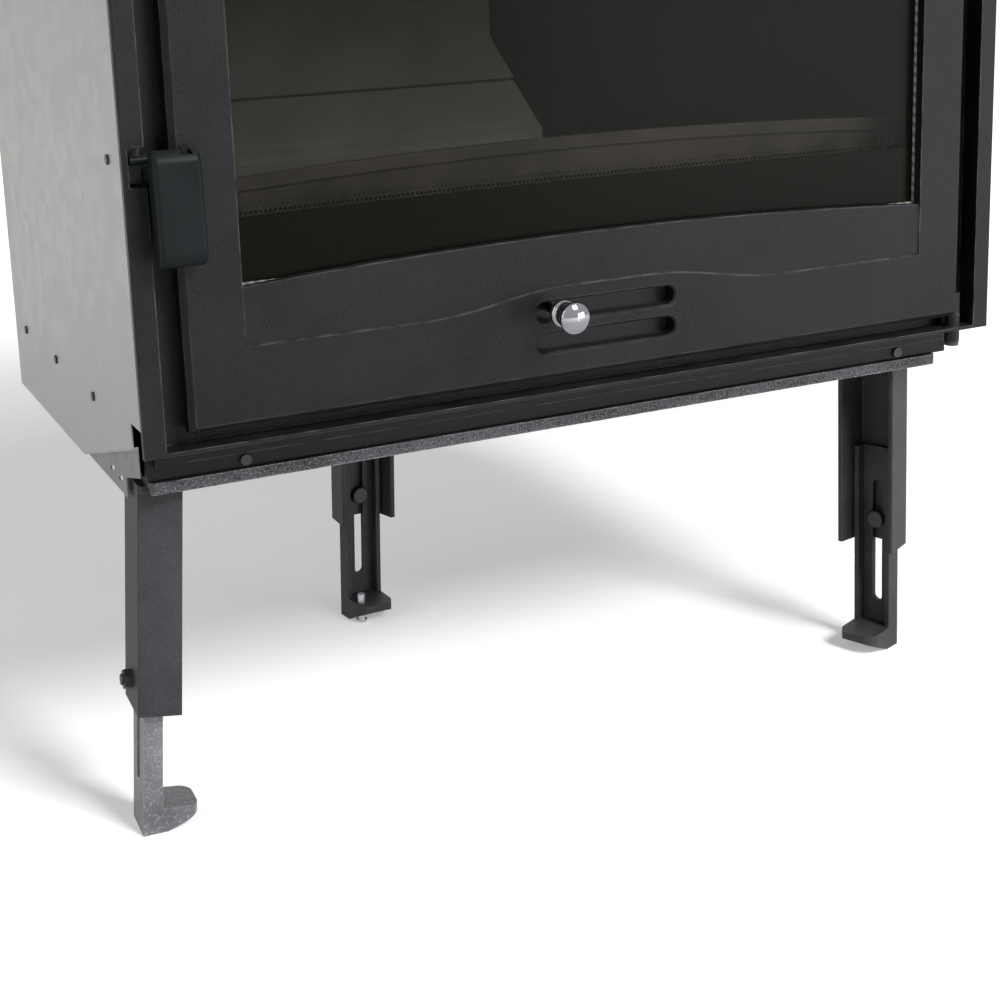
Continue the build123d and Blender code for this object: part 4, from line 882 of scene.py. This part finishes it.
def settle(piece: bpy.types.Object, name: str, body: Body, finish: Finish) -> bpy.types.Object:
    """Finishes a new piece: its place goes into its mesh, and it gets its body and finish.

    Args:
        piece: The piece.
        name: Its name.
        body: The body it moves with.
        finish: Its finish.

    Returns:
        The same piece.
    """
    rest_selection()
    piece.select_set(True)
    bpy.context.view_layer.objects.active = piece
    bpy.ops.object.transform_apply(location=True, rotation=True, scale=True)
    bpy.ops.object.shade_smooth_by_angle(angle=SMOOTH_BELOW)
    piece.name = name
    piece.data.name = name
    piece.data.materials.clear()
    piece.data.materials.append(finish.dressing())
    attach(piece, body.value)
    log.info("piece %s rides on %s", name, body.value)
    return piece


def dress(finish: Finish, *nodes: str) -> None:
    """Gives frame nodes their finish.

    Args:
        finish: The finish.
        *nodes: Names of the nodes.
    """
    for name in nodes:
        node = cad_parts[name]
        if not node.material_slots:
            node.data.materials.append(finish.dressing())
        for holder in node.material_slots:
            holder.material = finish.dressing()
        log.info("node %s in %s", name, finish.value.name)


# Sub-assemblies


@dataclass
class HearthFrame:
    """The front frame, the apron under it and the base plate."""

    painted: tuple[str, ...] = ("front_frame", "base_apron")
    rough: tuple[str, ...] = ("base_plate",)
    steel: tuple[str, ...] = ("hinge_pin_lower", "hinge_pin_upper", "latch_keeper", "apron_screws")
    body: Body = Body.INSERT

    def build(self) -> None:
        """Dresses the frame's nodes."""
        dress(Finish.PAINTED, *self.painted)
        dress(Finish.ROUGH, *self.rough)
        dress(Finish.DARK_STEEL, *self.steel)


@dataclass
class GlazedDoor:
    """The door casting with its glass, print, seals and fittings."""

    seals: tuple[str, ...] = ("glass_seal", "door_seal")
    fittings: tuple[str, ...] = ("glass_clips", "clip_screws", "guide_screws", "handle_pin")
    body: Body = Body.DOOR
    band_half: float = 0.2755
    band_low: float = 0.4055
    band_top: float = 0.462
    band_depth: float = 0.0077
    band_thick: float = 0.0002
    band_cuts: int = 6

    def build(self) -> None:
        """Dresses the door's nodes and prints its glass."""
        dress(Finish.PAINTED, "door_frame")
        dress(Finish.PANE, "door_glass")
        dress(Finish.ROPE, *self.seals)
        dress(Finish.ZINC, *self.fittings)
        dress(Finish.DARK_STEEL, "slider_guide")
        self.printed_band()

    def printed_band(self) -> bpy.types.Object:
        """Models the thin print on the glass's face.

        Returns:
            The printed band.
        """
        rest_selection()
        middle = (MIDDLE_X, FACE_Y + self.band_depth, (self.band_low + self.band_top) / 2)
        bpy.ops.mesh.primitive_plane_add(size=1.0, location=middle, rotation=(math.pi / 2, 0, 0))
        band = bpy.context.object
        band.scale = (2 * self.band_half, self.band_top - self.band_low, 1.0)
        bpy.ops.object.transform_apply(location=False, rotation=True, scale=True)
        bpy.ops.object.mode_set(mode="EDIT")
        bpy.ops.mesh.select_all(action="SELECT")
        bpy.ops.mesh.subdivide(number_cuts=self.band_cuts)
        bpy.ops.object.mode_set(mode="OBJECT")
        wall = band.modifiers.new("thickness", "SOLIDIFY")
        wall.thickness = self.band_thick
        wall.offset = 0.0
        bpy.ops.object.modifier_apply(modifier=wall.name)
        return settle(band, "glass_print", self.body, Finish.PRINT)


@dataclass
class DropHandle:
    """The drop handle with its latch cam."""

    castings: tuple[str, ...] = ("door_handle", "latch_cam")
    body: Body = Body.HANDLE

    def build(self) -> None:
        """Dresses the handle's nodes."""
        dress(Finish.HANDLE, *self.castings)


@dataclass
class AirControl:
    """The shutter plate, its stem and its chrome knob."""

    bright: tuple[str, ...] = ("knob_stem", "air_knob")
    body: Body = Body.AIR

    def build(self) -> None:
        """Dresses the air control's nodes."""
        dress(Finish.CHROME, *self.bright)
        dress(Finish.SHUTTER, "air_shutter")


@dataclass
class Firebox:
    """The chamber behind the glass, its linings, grate and flue."""

    iron: tuple[str, ...] = (
        "firebox_back", "firebox_side_left", "firebox_side_right", "firebox_top", "hearth_plate", "grate",
        "base_box", "flue_collar",
    )
    lining: tuple[str, ...] = ("fire_back_lower", "fire_back_upper", "baffle")
    body: Body = Body.INSERT

    def build(self) -> None:
        """Dresses the firebox's nodes."""
        dress(Finish.INNER, *self.iron)
        dress(Finish.BRICK, *self.lining)
        dress(Finish.RETAINER, "log_retainer")
        dress(Finish.ZINC_SHEET, "ash_pan")
        dress(Finish.ZINC, "pan_handle", "collar_screws")


@dataclass
class SheetCasing:
    """The galvanised casing and its screws."""

    sheets: tuple[str, ...] = ("casing_left", "casing_right", "casing_rear", "casing_top")
    body: Body = Body.INSERT

    def build(self) -> None:
        """Dresses the casing's nodes."""
        dress(Finish.ZINC_SHEET, *self.sheets)
        dress(Finish.DARK_STEEL, "casing_screws")


@dataclass
class Legs:
    """The three bracket legs with their sliding feet."""

    feet: tuple[tuple[str, Body], ...] = (
        ("front_left", Body.LEFT_FOOT), ("front_right", Body.RIGHT_FOOT), ("rear", Body.REAR_FOOT),
    )
    steel: tuple[str, ...] = ("leg_bolts", "leg_nuts", "leg_mount_bolts")
    body: Body = Body.INSERT

    def build(self) -> None:
        """Dresses the legs' nodes."""
        for place, foot in self.feet:
            dress(Finish.LEG, "leg_bracket_" + place, "foot_" + place)
            log.info("the %s leg slides on %s", place, foot.value)
        # Painted highlight: the front left foot alone gets the lighter copy of the leg casting
        dress(Finish.BARE_FOOT, "foot_front_left")
        dress(Finish.DARK_STEEL, *self.steel)
        dress(Finish.ZINC, "levelling_screw")


@dataclass
class Lamp:
    """One soft area lamp."""

    name: str
    place: Point
    aim: Point
    width: float
    height: float
    power: float

    def build(self) -> bpy.types.Object:
        """Makes the lamp and aims it.

        Returns:
            The lamp.
        """
        data = bpy.data.lights.new(self.name, "AREA")
        data.shape = "RECTANGLE"
        data.size = self.width
        data.size_y = self.height
        data.energy = self.power
        lamp = bpy.data.objects.new(self.name, data)
        bpy.context.scene.collection.objects.link(lamp)
        lamp.location = self.place
        lamp.rotation_euler = (Vector(self.aim) - Vector(self.place)).to_track_quat("-Z", "Y").to_euler()
        return lamp


@dataclass
class Studio:
    """Pale floor, soft lamps and the camera at the photograph's angle."""

    eye: Point = (MIDDLE_X - 0.6172, FACE_Y - 1.1266, 0.654)
    yaw: float = 25.57
    pitch: float = 13.19
    roll: float = 1.69
    lens: float = 64.94
    sensor: float = 36.0
    nearest: float = 0.01
    shift: Span = (-0.015, -0.183)
    air: Colour = (1.0, 1.0, 1.0)
    ambient: float = 0.25
    floor_size: float = 40.0
    floor_colour: Colour = (0.80, 0.80, 0.80)
    floor_roughness: float = 0.9
    glow: float = 0.31
    glow_near: float = 0.9
    glow_far: float = 2.2
    lamps: list[Lamp] = field(default_factory=lambda: [
        Lamp("key softbox", (1.2, -3.6, 3.3), (0.0, 0.0, 0.25), 1.3, 1.3, 260.0),
        Lamp("left softbox", (-3.0, -0.6, 1.5), (-0.3, 0.0, 0.45), 2.0, 2.4, 24.0),
        Lamp("right card", (1.8, -2.3, 0.46), (0.1, -0.2, 0.36), 1.6, 0.9, 26.0),
    ])

    def build(self) -> None:
        """Makes the stage, the lights and the camera."""
        self.floor()
        self.sky()
        for lamp in self.lamps:
            lamp.build()
        self.camera()
        bpy.context.scene.view_settings.view_transform = "Standard"

    def floor(self) -> bpy.types.Object:
        """Lays the pale floor, which turns white away from the object.

        Returns:
            The floor.
        """
        rest_selection()
        bpy.ops.mesh.primitive_plane_add(size=self.floor_size, location=(0, 0, 0))
        ground = bpy.context.object
        ground.name = "studio_floor"
        made, wires, shader = start_material("studio floor")
        shader.inputs["Base Color"].default_value = (*self.floor_colour, 1.0)
        shader.inputs["Roughness"].default_value = self.floor_roughness
        shader.inputs["Specular IOR Level"].default_value = 0.0
        shader.inputs["Emission Color"].default_value = (*self.air, 1.0)
        away = wires.add("ShaderNodeVectorMath", operation="LENGTH")
        wires.join(wires.place(), away.inputs[0])
        glow = wires.span(away.outputs["Value"], self.glow_near, self.glow_far, self.glow, 1.0)
        wires.join(wires.maths("MULTIPLY", looked_at(wires), glow), shader.inputs["Emission Strength"])
        ground.data.materials.append(made)
        return ground

    def sky(self) -> None:
        """Sets a soft world that is white to the camera."""
        world = bpy.data.worlds.new("studio air")
        bpy.context.scene.world = world
        world.use_nodes = True
        wires = Wiring(world.node_tree)
        background = world.node_tree.nodes["Background"]
        background.inputs["Color"].default_value = (*self.air, 1.0)
        wires.join(wires.span(looked_at(wires), 0.0, 1.0, self.ambient, 1.0), background.inputs["Strength"])

    def camera(self) -> bpy.types.Object:
        """Sets the camera from its yaw, pitch and roll.

        Returns:
            The camera.
        """
        yaw, pitch, roll = (math.radians(a) for a in (self.yaw, self.pitch, self.roll))
        ahead = Vector((math.sin(yaw) * math.cos(pitch), math.cos(yaw) * math.cos(pitch), -math.sin(pitch)))
        right = Vector((math.cos(yaw), -math.sin(yaw), 0.0))
        down = ahead.cross(right)
        turned_right = math.cos(roll) * right + math.sin(roll) * down
        turned_down = -math.sin(roll) * right + math.cos(roll) * down
        data = bpy.data.cameras.new("photograph view")
        data.sensor_width = self.sensor
        data.lens = self.lens
        data.shift_x, data.shift_y = self.shift
        data.clip_start = self.nearest
        camera = bpy.data.objects.new("photograph view", data)
        bpy.context.scene.collection.objects.link(camera)
        axes = Matrix((turned_right, -turned_down, -ahead)).transposed()
        camera.matrix_world = Matrix.Translation(self.eye) @ axes.to_4x4()
        bpy.context.scene.camera = camera
        return camera


def main() -> None:
    """Builds the studio and every sub-assembly in order."""
    Studio().build()
    assemblies = (HearthFrame(), GlazedDoor(), DropHandle(), AirControl(), Firebox(), SheetCasing(), Legs())
    for assembly in assemblies:
        assembly.build()
        log.info("built %s on %s", type(assembly).__name__, assembly.body.value)


if __name__ == "__main__":
    main()
